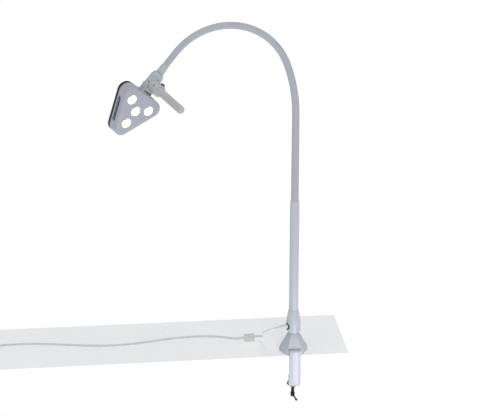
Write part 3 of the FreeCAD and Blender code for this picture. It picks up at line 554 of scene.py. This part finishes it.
def make_clamp():
    front = -TABLE_EDGE - STRAP_THICK
    outline = [(FLANGE_BACK, FLANGE_HIGH), (front, FLANGE_HIGH), (front, ARM_FLOOR), (ARM_BACK, ARM_FLOOR),
               (ARM_BACK, JAW_FLOOR), (-TABLE_EDGE, JAW_FLOOR), (-TABLE_EDGE, FLANGE_LOW),
               (FLANGE_BACK, FLANGE_LOW)]
    bends = soften(outline, [0.2, STRAP_BEND, STRAP_BEND, 1.5, 1.5, 1.2, 1.2, 0.2], steps=6)
    half = STRAP_WIDTH / 2
    levels = [(0.75, 0.0), (0.25, 0.25), (0.0, 0.8)]
    rings = []
    for inset, depth in levels + [(i, STRAP_WIDTH - d) for i, d in reversed(levels)]:
        rings.append([(-half + depth, *p) for p in inset_outline(bends, inset)])
    strap = new_object("clamp_strap", loft(rings), WORLD)
    hole = new_object("hole", lathe([(0, -90), (NUT_HOLE, -90), (NUT_HOLE, -65), (0, -65)]), WORLD)
    carved(strap, [hole])
    for way in (-1, 1):
        corner = prism([(15 * way, -36), (8.5 * way, 17), (15 * way, 17)], -90, -65)
        carved(strap, [new_object("corner", corner, WORLD)])
    shown(strap, "base", "white_enamel", ("clamp_bracket",))


def thread_shape(crest, root, pitch, low, high):
    """A rod with a thread cut in it, as turned rings that follow the helix."""
    around, per_turn = 48, 10
    rings = []
    for level in range(round((high - low) / pitch * per_turn) + 1):
        height = low + level * pitch / per_turn
        ring = []
        for k in range(around):
            phase = (height / pitch - k / around) % 1.0
            reach = root + (crest - root) * min(1.0, 2.6 * min(phase, 1 - phase))
            ring.append(polar(reach, 360 * k / around, height))
        rings.append(ring)
    return loft(rings)


SPINDLE_CREST, SPINDLE_ROOT, THREAD_PITCH = 4.0, 3.35, 3.0
THREAD_LOW, THREAD_HIGH = -109.0, -33.0
SCREW_HEAD_LOW, SCREW_HEAD_HIGH = -123.0, -112.0
BAR_AT, BAR_RADIUS, BAR_KNOB, BAR_REACH, BAR_BACK = -118.0, 2.0, 3.0, 32.0, -11.0
WHEEL_RADIUS, WHEEL_LOW, WHEEL_HIGH, WHEEL_RIBS, WHEEL_RIB = 14.5, -97.0, -82.0, 18, 0.8


def make_clamp_screw():
    crest, root, low, high = SPINDLE_CREST, SPINDLE_ROOT, THREAD_LOW, THREAD_HIGH
    ends = [lathe([(0, -113), (root + 0.3, -113), (crest, -111.5), (crest, low), (0, low)]),
            lathe([(0, high - 0.2), (3.9, high - 0.2), (3.9, -29.2), (2.8, -27.7), (0, -27.7)])]
    make("spindle_thread", joined([thread_shape(crest, root, THREAD_PITCH, low, high), *ends]),
         "spindle", "steel_dark")

    low, high = SCREW_HEAD_LOW, SCREW_HEAD_HIGH
    head = [(0, low), (4.2, low), (5.2, low + 1), (5.2, high - 1), (4.0, high), (0, high)]
    boss = new_object("spindle_head", lathe(head, soft=0.6), WORLD)
    yaw = Vector(joint("tommy_slide")["axis"])
    bar_at = Vector((0, 0, BAR_AT))
    bore = lathe([(0, -12), (2.3, -12), (2.3, 12), (0, 12)], steps=32)
    carved(boss, [new_object("bore", moved(bore, facing(yaw, bar_at)), WORLD)])
    shown(boss, "spindle", "steel_dark", ("clamp_spindle",))

    reach, back, radius, knob = BAR_REACH, BAR_BACK, BAR_RADIUS, BAR_KNOB
    bar = [(0, back), (knob - 1, back), (knob, back + 1), (knob, back + 3), (radius, back + 4),
           (radius, reach - 4), (knob, reach - 3), (knob, reach - 1), (knob - 1, reach), (0, reach)]
    make("tommy_handle", moved(lathe(bar, soft=0.6, steps=40), facing(yaw, bar_at)), "tommy",
         "steel_dark", nodes=("tommy_bar",))

    def grip(radius, turn):
        if radius < WHEEL_RADIUS - 2:
            return 0.0
        return -WHEEL_RIB * max(0.0, math.cos(math.radians(WHEEL_RIBS * turn)))

    wheel = [(4.1, WHEEL_LOW), (7.2, WHEEL_LOW), (8.2, -95.6), (13.2, -90.6), (WHEEL_RADIUS, -89.4),
             (WHEEL_RADIUS, -87.6), (13.4, -86.6), (9.2, -83.2), (8.0, WHEEL_HIGH), (4.1, WHEEL_HIGH)]
    make("lock_knob", lathe(wheel, soft=0.5, steps=216, ring=True, wave=grip), "base",
         "black_plastic", nodes=("lock_wheel",))


def inset_outline(outline, inset):
    """The outline moved inwards, evenly all round."""
    if not inset:
        return outline
    made = []
    count = len(outline)
    area = sum(outline[k - 1][0] * outline[k][1] - outline[k][0] * outline[k - 1][1] for k in range(count))
    way = 1 if area > 0 else -1
    for k in range(count):
        before, here, after = (Vector(outline[(k + j) % count]) for j in (-1, 0, 1))
        along = (after - before).normalized()
        made.append((here.x - along.y * inset * way, here.y + along.x * inset * way))
    return made


# ---- the pole -----------------------------------------------------------------------------
POLE_RADIUS, POLE_BOTTOM, POLE_TOP, FERRULE_TOP = 11.0, 86.0, 357.0, 383.0
BOOT_RADIUS = 17.0
SOCKET_BORE, RIM_INNER, RIM_OUTER = 7.45, 5.6, 8.9


def make_pole():
    boot_profile = [(8.0, 49.2), (12.3, 49.2), (BOOT_RADIUS, 54.2), (BOOT_RADIUS, 80.0),
                    (POLE_RADIUS + 0.8, 107.0), (POLE_RADIUS + 0.05, 107.3), (POLE_RADIUS, 100.0),
                    (8.0, 70.0)]
    softness = [0, 0.5, 1.6, 9.0, 0.5, 0.1, 0, 0]
    boot = new_object("boot", lathe(soften(boot_profile, softness, steps=8), ring=True, steps=96), WORLD)
    centre, out = socket_line()
    hole = lathe([(0, 10), (SOCKET_BORE, 10), (SOCKET_BORE, 25), (0, 25)], steps=48)
    carved(boot, [new_object("hole", moved(hole, facing(out, centre)), WORLD)])
    shown(boot, "pole", "white_enamel", ("pole_boot",))

    rim = lathe([(RIM_INNER, 12), (RIM_OUTER, 12), (RIM_OUTER, 26), (RIM_INNER, 26)], ring=True, steps=64)
    socket_rim = new_object("socket_rim", moved(rim, facing(out, centre)), WORLD)
    outside = lathe([(BOOT_RADIUS + 0.15, 50), (40, 50), (40, 85), (BOOT_RADIUS + 0.15, 85)], ring=True,
                    steps=96)
    carved(socket_rim, [new_object("outside", outside, WORLD)])
    shown(socket_rim, "pole", "black_plastic")

    tube = [(0, POLE_BOTTOM), (POLE_RADIUS, POLE_BOTTOM), (POLE_RADIUS, POLE_TOP - 0.2),
            (POLE_RADIUS - 0.3, POLE_TOP), (0, POLE_TOP)]
    make("tube", lathe(tube, soft=0.3, steps=96), "pole", "white_enamel", nodes=("pole_tube",))

    ferrule = [(0, POLE_TOP), (POLE_RADIUS - 0.3, POLE_TOP), (POLE_RADIUS, POLE_TOP + 0.3),
               (POLE_RADIUS, 369.0), (9.7, FERRULE_TOP - 0.4), (9.2, FERRULE_TOP), (0, FERRULE_TOP)]
    make("ferrule", lathe(soften(ferrule, [0, 0, 0.2, 4.0, 0.4, 0.3, 0], closed=False), steps=96), "pole",
         "white_enamel", nodes=("pole_ferrule",))


# ---- the flexible arm's sleeve ------------------------------------------------------------
ARM_YAW = 12.0
ARM_RUNS = ((0.0, 588.0), (340.0, 20.6), (152.0, 118.4), (0.0, 86.8))
FLEX_START, FLEX_BOTTOM_RADIUS, FLEX_TOP_RADIUS = 365.0, 9.0, 7.1
NECK_TOP, NECK_FERRULE = 31.0, 21.0
LINKS = 6
FIRST_BEND = 410.0


def arm_length():
    return sum(radius * math.radians(size) if radius else size for radius, size in ARM_RUNS)


ARM_LENGTH = arm_length()
FLEX_END = ARM_LENGTH - NECK_TOP - 10.0
LAST_BEND = ARM_LENGTH - NECK_TOP - NECK_FERRULE - 24.0


def arm_point(run):
    """A point of the arm's centre line, at a distance along it from the table."""
    point, heading = Vector((0, 0, 0)), 0.0
    for radius, size in ARM_RUNS:
        length = radius * math.radians(size) if radius else size
        step = min(run, length)
        if radius:
            turned = heading + step / radius
            point = point + Vector((math.cos(heading) - math.cos(turned), 0,
                                    math.sin(turned) - math.sin(heading))) * radius
            heading = turned
        else:
            point = point + Vector((math.sin(heading), 0, math.cos(heading))) * step
        run -= step
        if run <= 0:
            break
    return Matrix.Rotation(math.radians(180 + ARM_YAW), 4, "Z") @ point


def bend_run(k):
    return FIRST_BEND + (LAST_BEND - FIRST_BEND) * (k - 1) / (LINKS - 1)


def sleeve_radius(run):
    share = (run - FLEX_START) / (FLEX_END - FLEX_START)
    return FLEX_BOTTOM_RADIUS + (FLEX_TOP_RADIUS - FLEX_BOTTOM_RADIUS) * min(1.0, max(0.0, share))


def sleeve_shape(start, end):
    steps = max(2, round((end - start) / 4))
    line = [arm_point(start + (end - start) * k / steps) for k in range(steps + 1)]
    return sweep(line, lambda share: sleeve_radius(start + (end - start) * share), sides=48)


def make_sleeve():
    """The sleeve in lengths, each from the middle of a link to the next one's: the first rides on the pole, the
    last on the last link, and those between on no body.
    """
    links = ["pole"] + ["link_%d" % (k + 1) for k in range(1, LINKS + 1)]
    bends = [bend_run(k) for k in range(1, LINKS + 1)]
    middles = [(a + b) / 2 for a, b in zip([FLEX_START] + bends, bends + [FLEX_END])]
    make("sleeve_0", sleeve_shape(FLEX_START, middles[0]), "pole", "arm_sleeve", nodes=("arm_link_1",))
    for k in range(LINKS):
        sleeve = make("sleeve_%d" % (k + 1), sleeve_shape(middles[k], middles[k + 1]), None,
                      "arm_sleeve", nodes=("arm_link_%d" % (k + 2),))
        start, end = (arm_point(run) * MM for run in (middles[k] + 4, middles[k + 1] - 4))
        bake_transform(sleeve)
    make("sleeve_%d" % (LINKS + 1), sleeve_shape(middles[-1], FLEX_END), links[-1], "arm_sleeve")


# ---- the knuckle and its handle -----------------------------------------------------------
KNUCKLE_RADIUS = 14.5
HANDLE_RISE = 2.0
BOSS_RADIUS, BOSS_END = 14.0, 39.0
GRIP_RADIUS, GRIP_END, CAP_LENGTH = 8.5, 131.5, 7.0
BUTTON_Z, BUTTON_RADIUS, BUTTON_TOP, BUTTON_FLOOR = 33.0, 5.2, 17.4, 7.8
EAR_IN, EAR_OUT, EAR_RADIUS, EAR_CAP = 11.2, 15.2, 9.5, 7.0
SIDE_SCREW, SCREW_WELL = (0, 2, 26), 2.7
FOOT_LOW, FOOT_HIGH = -16.2, -14.0
HANDLE = KNUCKLE @ Matrix.Translation(Y * HANDLE_RISE * MM)
YOKE = axes_at(TILT_AT, SIDE, UP)


def make_knuckle():
    neck = [(5.0, NECK_TOP + 0.3), (8.7, NECK_TOP + 0.3), (8.7, NECK_TOP + 14.0),
            (7.7, NECK_TOP + NECK_FERRULE), (6.5, NECK_TOP + NECK_FERRULE), (5.0, NECK_TOP + 18.0)]
    shape = lathe(soften(neck, [0, 0.5, 3.0, 0.4, 0.2, 0]), ring=True)
    make("neck_sleeve", moved(shape, facing(Y)), "link_7", "cast_grey", KNUCKLE, ("neck_ferrule",))

    boss_profile = [(0, 6.5), (BOSS_RADIUS, 6.5), (BOSS_RADIUS, BOSS_END - 0.2), (0, BOSS_END)]
    boss = new_object("boss", lathe(soften(boss_profile, [0, 0.2, 2.0, 0], closed=False), steps=96), HANDLE)
    well = lathe([(0, BUTTON_FLOOR), (BUTTON_RADIUS + 0.3, BUTTON_FLOOR), (BUTTON_RADIUS + 0.3, 25), (0, 25)],
                 steps=40)
    screw_hole = lathe([(0, 10), (SCREW_WELL, 10), (SCREW_WELL, 20), (0, 20)], steps=32)
    seam = KNUCKLE_RADIUS + 1.3
    rear = lathe([(0, -30), (seam, -30), (seam, 40), (0, 40)], steps=96)
    for low, high in ((-EAR_OUT - 0.6, 0.6 - EAR_IN), (EAR_IN - 0.6, EAR_OUT + 0.6)):
        room = lathe([(0, low), (EAR_RADIUS + 1.2, low), (EAR_RADIUS + 1.2, high), (0, high)], steps=96)
        carved(boss, [new_object("ear_room", moved(room, facing(X)), YOKE)])
    carved(boss, [new_object("well", moved(well, facing(Y, (0, 0, BUTTON_Z))), HANDLE),
                  new_object("screw_hole", moved(screw_hole, facing(-X, SIDE_SCREW)), HANDLE),
                  new_object("rear", moved(rear, facing(Y)), HANDLE)])
    shown(boss, "knuckle", "grip_grey", ("handle_boss",))
    # A black disc inside the boss shows through the 1.3 mm seam between the boss and the housing: painted shade in
    # the seam.
    wide = BOSS_RADIUS - 1.0
    seam_shade_disc = lathe([(0, 8.0), (wide, 8.0), (wide, 22.0), (0, 22.0)], steps=96)
    make("boss_seam_shade", seam_shade_disc, "knuckle", "black_rubber", HANDLE)

    grip = [(0, BOSS_END), (GRIP_RADIUS + 1.2, BOSS_END), (GRIP_RADIUS, BOSS_END + 2.0),
            (GRIP_RADIUS, GRIP_END - CAP_LENGTH - 0.35), (GRIP_RADIUS - 0.4, GRIP_END - CAP_LENGTH),
            (0, GRIP_END - CAP_LENGTH)]
    make("grip", lathe(soften(grip, [0, 0.3, 2.0, 0.3, 0, 0], closed=False), steps=80), "knuckle",
         "grip_grey", HANDLE, ("handle_grip",))
    cap_low = GRIP_END - CAP_LENGTH
    cap = [(0, cap_low), (GRIP_RADIUS - 0.4, cap_low), (GRIP_RADIUS, cap_low + 0.35),
           (GRIP_RADIUS, GRIP_END - 2.5), (GRIP_RADIUS - 2.5, GRIP_END), (2.0, GRIP_END),
           (1.4, GRIP_END - 0.6), (0, GRIP_END - 0.6)]
    make("grip_cap", lathe(soften(cap, [0, 0, 0.2, 2.2, 2.2, 0.2, 0.2, 0], closed=False), steps=80),
         "knuckle", "grip_grey", HANDLE, ("handle_end_cap",))

    top = BUTTON_TOP
    button = [(0, 10.0), (BUTTON_RADIUS, 10.0), (BUTTON_RADIUS, top - 2.2), (BUTTON_RADIUS - 1.4, top - 0.6),
              (3.0, top), (2.6, top - 0.3), (0, top - 0.3)]
    shape = moved(lathe(soften(button, [0, 0.2, 1.2, 1.0, 0.2, 0.2, 0], closed=False), steps=48),
                  facing(Y, (0, 0, BUTTON_Z)))
    make("lock_cap", shape, "lock", "black_plastic", HANDLE, ("lock_button",))


def make_yoke():
    """Two ears on a thin foot, which is screwed to the head's top side."""
    ears = []
    for low, high in ((-EAR_OUT, -EAR_IN), (EAR_IN, EAR_OUT)):
        outline = [(EAR_RADIUS + 1.4, FOOT_HIGH - 0.4), (EAR_RADIUS, FOOT_HIGH + 2.0)]
        outline += [tuple(polar(EAR_RADIUS, 7.5 * k).to_2d()) for k in range(25)]
        outline += [(-EAR_RADIUS, FOOT_HIGH + 2.0), (-EAR_RADIUS - 1.4, FOOT_HIGH - 0.4)]
        rings = []
        for inset, x in ((0.6, low), (0.18, low + 0.18), (0.0, low + 0.6), (0.0, high - 0.6),
                         (0.18, high - 0.18), (0.6, high)):
            rings.append([(x, y, z) for z, y in inset_outline(outline, inset)])
        ears.append(loft(rings))
    yoke = new_object("yoke_ears", joined(ears), YOKE)
    round_edge = lathe([(15.6, -20), (30, -20), (30, 20), (15.6, 20)], ring=True, steps=96)
    carved(yoke, [new_object("round_edge", moved(round_edge, facing(Y)), YOKE)])
    shown(yoke, "head", "cast_grey", ("head_yoke",))
    cap = [(0, EAR_OUT - 0.4), (EAR_CAP, EAR_OUT - 0.4), (EAR_CAP, EAR_OUT + 0.5),
           (EAR_CAP - 0.7, EAR_OUT + 1.1), (0, EAR_OUT + 1.3)]
    make("axle_cap", moved(lathe(soften(cap, [0, 0, 0.3, 1.0, 0], closed=False), steps=64), facing(-X)),
         "head", "cast_grey", YOKE)

    half, tab = 12.5, 23.0
    foot = [(-EAR_OUT, -half), (EAR_OUT, -half), (EAR_OUT, -4.0), (tab, -4.0), (tab, half),
            (-EAR_OUT, half)]
    outline = soften(foot, [3.0, 2.0, 1.0, 3.0, 3.0, 3.0])
    levels = ((0.0, FOOT_LOW), (0.0, FOOT_HIGH - 0.5), (0.15, FOOT_HIGH - 0.15), (0.5, FOOT_HIGH))
    plate = loft([[(x, height, z) for x, z in inset_outline(outline, inset)] for inset, height in levels])
    make("yoke_foot", plate, "head", "cast_grey", YOKE)


# ---- the head -----------------------------------------------------------------------------
HEAD_CORNER, HEAD_HALF, COVER_SPLIT = 19.0, 17.5, -13.5
HEAD_CORNERS = (Vector((0, -45.0, 0)), Vector((35.5, 24.0, 0)), Vector((-35.5, 24.0, 0)))
CORNERS = (-90, 30, 150)
LED_CIRCLE, LED_OPENING = 32.7, 10.8
KEY_LEVEL, KEY_PITCH, KEY_COUNT = 1.0, 12.5, 4
KEY_LONG, KEY_WIDE = 4.0, 1.75          # half a key cap
SLOT_LONG, SLOT_WIDE = 23.0, 2.3        # half the key slot
FILM_FROM, FILM_TO, FILM_WIDE = -24.0, 27.0, 4.6
HOUSING_EDGE, OPENING_FLARE = 3.4, 0.5
SINK_CIRCLE, SINK_RADIUS = 51.5, 2.9
SLOT_PITCH, SLOT_HALF = 6, 1.5


def head_ring(inset, height, steps=20):
    """A triangle with round corners, a distance inside the head's outline."""
    ring = []
    for k, here in enumerate(HEAD_CORNERS):
        into, away = here - HEAD_CORNERS[k - 1], HEAD_CORNERS[(k + 1) % 3] - here
        first, last = (math.degrees(math.atan2(side.y, side.x)) - 90 for side in (into, away))
        turn = (last - first) % 360
        for step in range(steps + 1):
            ring.append(here + polar(HEAD_CORNER - inset, first + turn * step / steps, height))
    return ring


def light_places():
    return [Vector((0, 0, 0))] + [polar(LED_CIRCLE, turn) for turn in CORNERS]


def key_place():
    low, high = HEAD_CORNERS[0], HEAD_CORNERS[2]
    out = (low - high).cross(Z).normalized()
    middle = (low + high) / 2 + out * HEAD_CORNER + Z * KEY_LEVEL
    return HEAD @ axes_at(middle * MM, out.cross(Z) * -1, Z)


def make_housing():
    edge, flare = HOUSING_EDGE, OPENING_FLARE
    levels = [(0.35, COVER_SPLIT), (0.0, COVER_SPLIT + 0.4)]
    for k in range(9):
        turn = math.radians(90 * k / 8)
        levels.append((edge * (1 - math.cos(turn)), HEAD_HALF - edge * (1 - math.sin(turn))))
    housing = new_object("housing", loft([head_ring(i, h) for i, h in levels]), HEAD)
    opening = [(0, 13.6), (LED_OPENING, 13.6), (LED_OPENING, HEAD_HALF - flare)]
    for k in range(1, 5):
        turn = math.radians(90 * k / 4)
        opening.append((LED_OPENING + flare * (1 - math.cos(turn)), HEAD_HALF - flare * (1 - math.sin(turn))))
    opening += [(LED_OPENING + flare, HEAD_HALF + 2), (0, HEAD_HALF + 2)]
    cutters = []
    for place in light_places():
        cutters.append(new_object("opening", moved(lathe(opening), Matrix.Translation(place)), HEAD))
    cutters.append(new_object("key_slot", box_shape((-SLOT_LONG, -SLOT_WIDE, -5), (SLOT_LONG, SLOT_WIDE, 1)),
                              key_place()))
    carved(housing, cutters)
    shown(housing, "head", "housing_grey", ("front_housing",))

    lugs = []
    for place in light_places():
        lug = box_shape((-2.6, LED_OPENING - 2.0, 16.0), (2.6, LED_OPENING + 0.6, HEAD_HALF - 0.05))
        lugs.append(moved(lug, Matrix.Translation(place) @ Matrix.Rotation(math.radians(60), 4, "Z")))
    make("lens_lugs", joined(lugs), "head", "housing_grey", HEAD, bevel=0.3)


def make_cover():
    """The dark rear cover: a lip over the housing's edge, cooling slots and sunk screws."""
    levels = [(2.6, -HEAD_HALF), (1.2, -17.3), (0.1, -16.6), (-0.5, -15.6), (-0.6, -14.6), (-0.6, -12.3),
              (-0.35, -11.8), (0.2, -11.6), (2.0, -11.6)]
    cover = new_object("cover", loft([head_ring(inset, height) for inset, height in levels]), HEAD)
    cutters = []
    for y in range(-46, 36, SLOT_PITCH):     # each slot keeps clear of the sloping sides
        half = 38.0 if y > 18 else 12.6 + 0.514 * (y - HEAD_CORNERS[0].y)
        if y < -44:
            half = 9.0
        low, high = y - SLOT_HALF, y + SLOT_HALF
        slot = soften([(-half, low), (half, low), (half, high), (-half, high)], 1.3)
        cutters.append(new_object("slot", prism(slot, -20, -15.2), HEAD))
    sink = lathe([(0, -20), (SINK_RADIUS, -20), (SINK_RADIUS, -15.6), (0, -15.6)], steps=32)
    for turn in CORNERS:
        at = Matrix.Translation(polar(SINK_CIRCLE, turn))
        cutters.append(new_object("sink", moved(sink, at), HEAD))
    carved(cover, cutters)
    shown(cover, "head", "black_cover", ("rear_cover",))
    lip = [(-0.6, -14.0), (-0.6, -9.3), (-0.35, -8.8), (0.2, -8.6), (1.0, -8.6), (1.0, -14.0)]
    make("cover_lip", loft([head_ring(inset, height) for inset, height in lip], closed=True), "head",
         "black_cover", HEAD)


def make_lenses():
    rim = LED_OPENING - 0.15
    profile = [(0, 13.0), (rim, 13.0), (rim, 16.0), (rim - 0.7, 16.4)]
    rings = 5
    for k in range(rings):
        reach = (rim - 1.2) * (1 - k / rings)
        rise = 16.5 + 0.75 * (1 - (reach / rim) ** 2)
        profile += [(reach, rise), (reach - 0.9, rise + 0.12)]
    profile.append((0, 17.35))
    for k, place in enumerate(light_places()):
        nodes = ("lenses",) if k == 0 else ()
        make("lens_%d" % (k + 1), moved(lathe(profile, steps=72), Matrix.Translation(place)), "head",
             "lens_clear", HEAD, nodes, degrees=20)


def key_symbol(k):
    """Raised generic signs: a ring with a bar, less, more, and a beam."""
    top, high = 1.5, 1.62
    if k == 0:
        ring = lathe([(0.75, top), (1.15, top), (1.15, high), (0.75, high)], ring=True, steps=24)
        return joined([ring, box_shape((-0.18, 0.2, top), (0.18, 1.5, high))])
    bar = box_shape((-1.1, -0.2, top), (1.1, 0.2, high))
    if k == 1:
        return bar
    if k == 2:
        return joined([bar, box_shape((-0.2, -1.1, top), (0.2, 1.1, high))])
    beams = [box_shape((-1.3 + 0.9 * i, -1.0, top), (-0.95 + 0.9 * i, 1.0, high)) for i in range(4)]
    return joined(beams)


def make_keys():
    place = key_place()
    edge = soften([(FILM_FROM, -FILM_WIDE), (FILM_TO, -FILM_WIDE), (FILM_TO, FILM_WIDE),
                   (FILM_FROM, FILM_WIDE)], 1.6)
    levels = [(0.0, -0.6), (0.0, 0.25), (0.12, 0.4)]
    film = new_object("key_film", loft([[(*p, h) for p in inset_outline(edge, i)] for i, h in levels]), place)
    middles = [KEY_PITCH * (k - (KEY_COUNT - 1) / 2) for k in range(KEY_COUNT)]
    holes = []
    for middle in middles:
        hole = box_shape((middle - KEY_LONG - 0.2, -KEY_WIDE - 0.2, -2),
                         (middle + KEY_LONG + 0.2, KEY_WIDE + 0.2, 2))
        holes.append(new_object("key_hole", hole, place))
    carved(film, holes)
    shown(film, "head", "panel_navy")
    long, wide = KEY_LONG, KEY_WIDE
    for k, middle in enumerate(middles):
        at = Matrix.Translation(X * middle)
        body = "push_key_%d" % (k + 1)
        outline = soften([(-long, -wide), (long, -wide), (long, wide), (-long, wide)], 0.6)
        levels = [(0.0, -1.4), (0.0, 1.15), (0.1, 1.38), (0.35, 1.5)]
        cap = loft([[(*p, height) for p in inset_outline(outline, inset)] for inset, height in levels])
        make("key_cap_%d" % (k + 1), moved(cap, at), body, "key_light", place, ("key_%d" % (k + 1),))
        make("key_sign_%d" % (k + 1), moved(key_symbol(k), at), body, "housing_grey", place)


# ---- the table, the light and the room ----------------------------------------------------
TABLE_LEFT, TABLE_RIGHT, TABLE_BACK = -1000.0, 130.0, 190.0


def make_stage():
    top = box_shape((TABLE_LEFT, -TABLE_EDGE, -TABLE_THICKNESS), (TABLE_RIGHT, TABLE_BACK, 0))
    table = new_object("table", top, WORLD)
    bevelled(table, 1.0)
    material = finish("table_top", (0.93, 0.93, 0.93), 0.7, tint=0.01, cloud=12.0, relief=0.01,
                      **{"Emission Color": (1.0, 1.0, 1.0, 1.0), "Emission Strength": 0.16})
    table.data.materials.append(material)


def make_light(name, location, target, size, power):
    data = bpy.data.lights.new(name, "AREA")
    data.size = size
    data.energy = power
    light = bpy.data.objects.new(name, data)
    light.location = location
    light.rotation_euler = (Vector(target) - Vector(location)).to_track_quat("-Z", "Y").to_euler()
    light.visible_camera = False
    bpy.context.scene.collection.objects.link(light)


def make_room():
    world = bpy.data.worlds.new("room")
    bpy.context.scene.world = world
    world.use_nodes = True
    tree = world.node_tree
    where = tree.nodes.new("ShaderNodeTexCoord")
    split = tree.nodes.new("ShaderNodeSeparateXYZ")
    ramp = tree.nodes.new("ShaderNodeValToRGB")
    ramp.color_ramp.elements[0].position, ramp.color_ramp.elements[1].position = 0.48, 0.75
    ramp.color_ramp.elements[0].color = (1, 1, 1, 1)
    ramp.color_ramp.elements[1].color = (0.36, 0.37, 0.39, 1)
    height = tree.nodes.new("ShaderNodeMapRange")
    set_sockets(height, {"From Min": -1.0, "From Max": 1.0})
    tree.links.new(where.outputs["Generated"], split.inputs["Vector"])
    tree.links.new(split.outputs["Z"], height.inputs["Value"])
    tree.links.new(height.outputs["Result"], ramp.inputs["Fac"])
    tree.links.new(ramp.outputs["Color"], tree.nodes["Background"].inputs["Color"])
    make_light("front", (0.5, -3.0, 1.6), (-0.1, 0, 0.4), 1.0, 14.0)
    make_light("low", (0.1, -0.5, -0.25), (0, -0.03, -0.07), 0.2, 1.1)
    make_light("above", (-0.2, -0.2, 3.0), (-0.2, 0, 0.3), 1.6, 24.0)


# ---- the whole scene ----------------------------------------------------------------------
bpy.context.scene.view_settings.view_transform = "Standard"
make_camera()
make_materials()
paint_frame()
make_lead()
make_base()
make_clamp()
make_clamp_screw()
make_pole()
make_sleeve()
make_knuckle()
make_yoke()
make_housing()
make_cover()
make_lenses()
make_keys()
make_stage()
make_room()
bpy.context.view_layer.update()
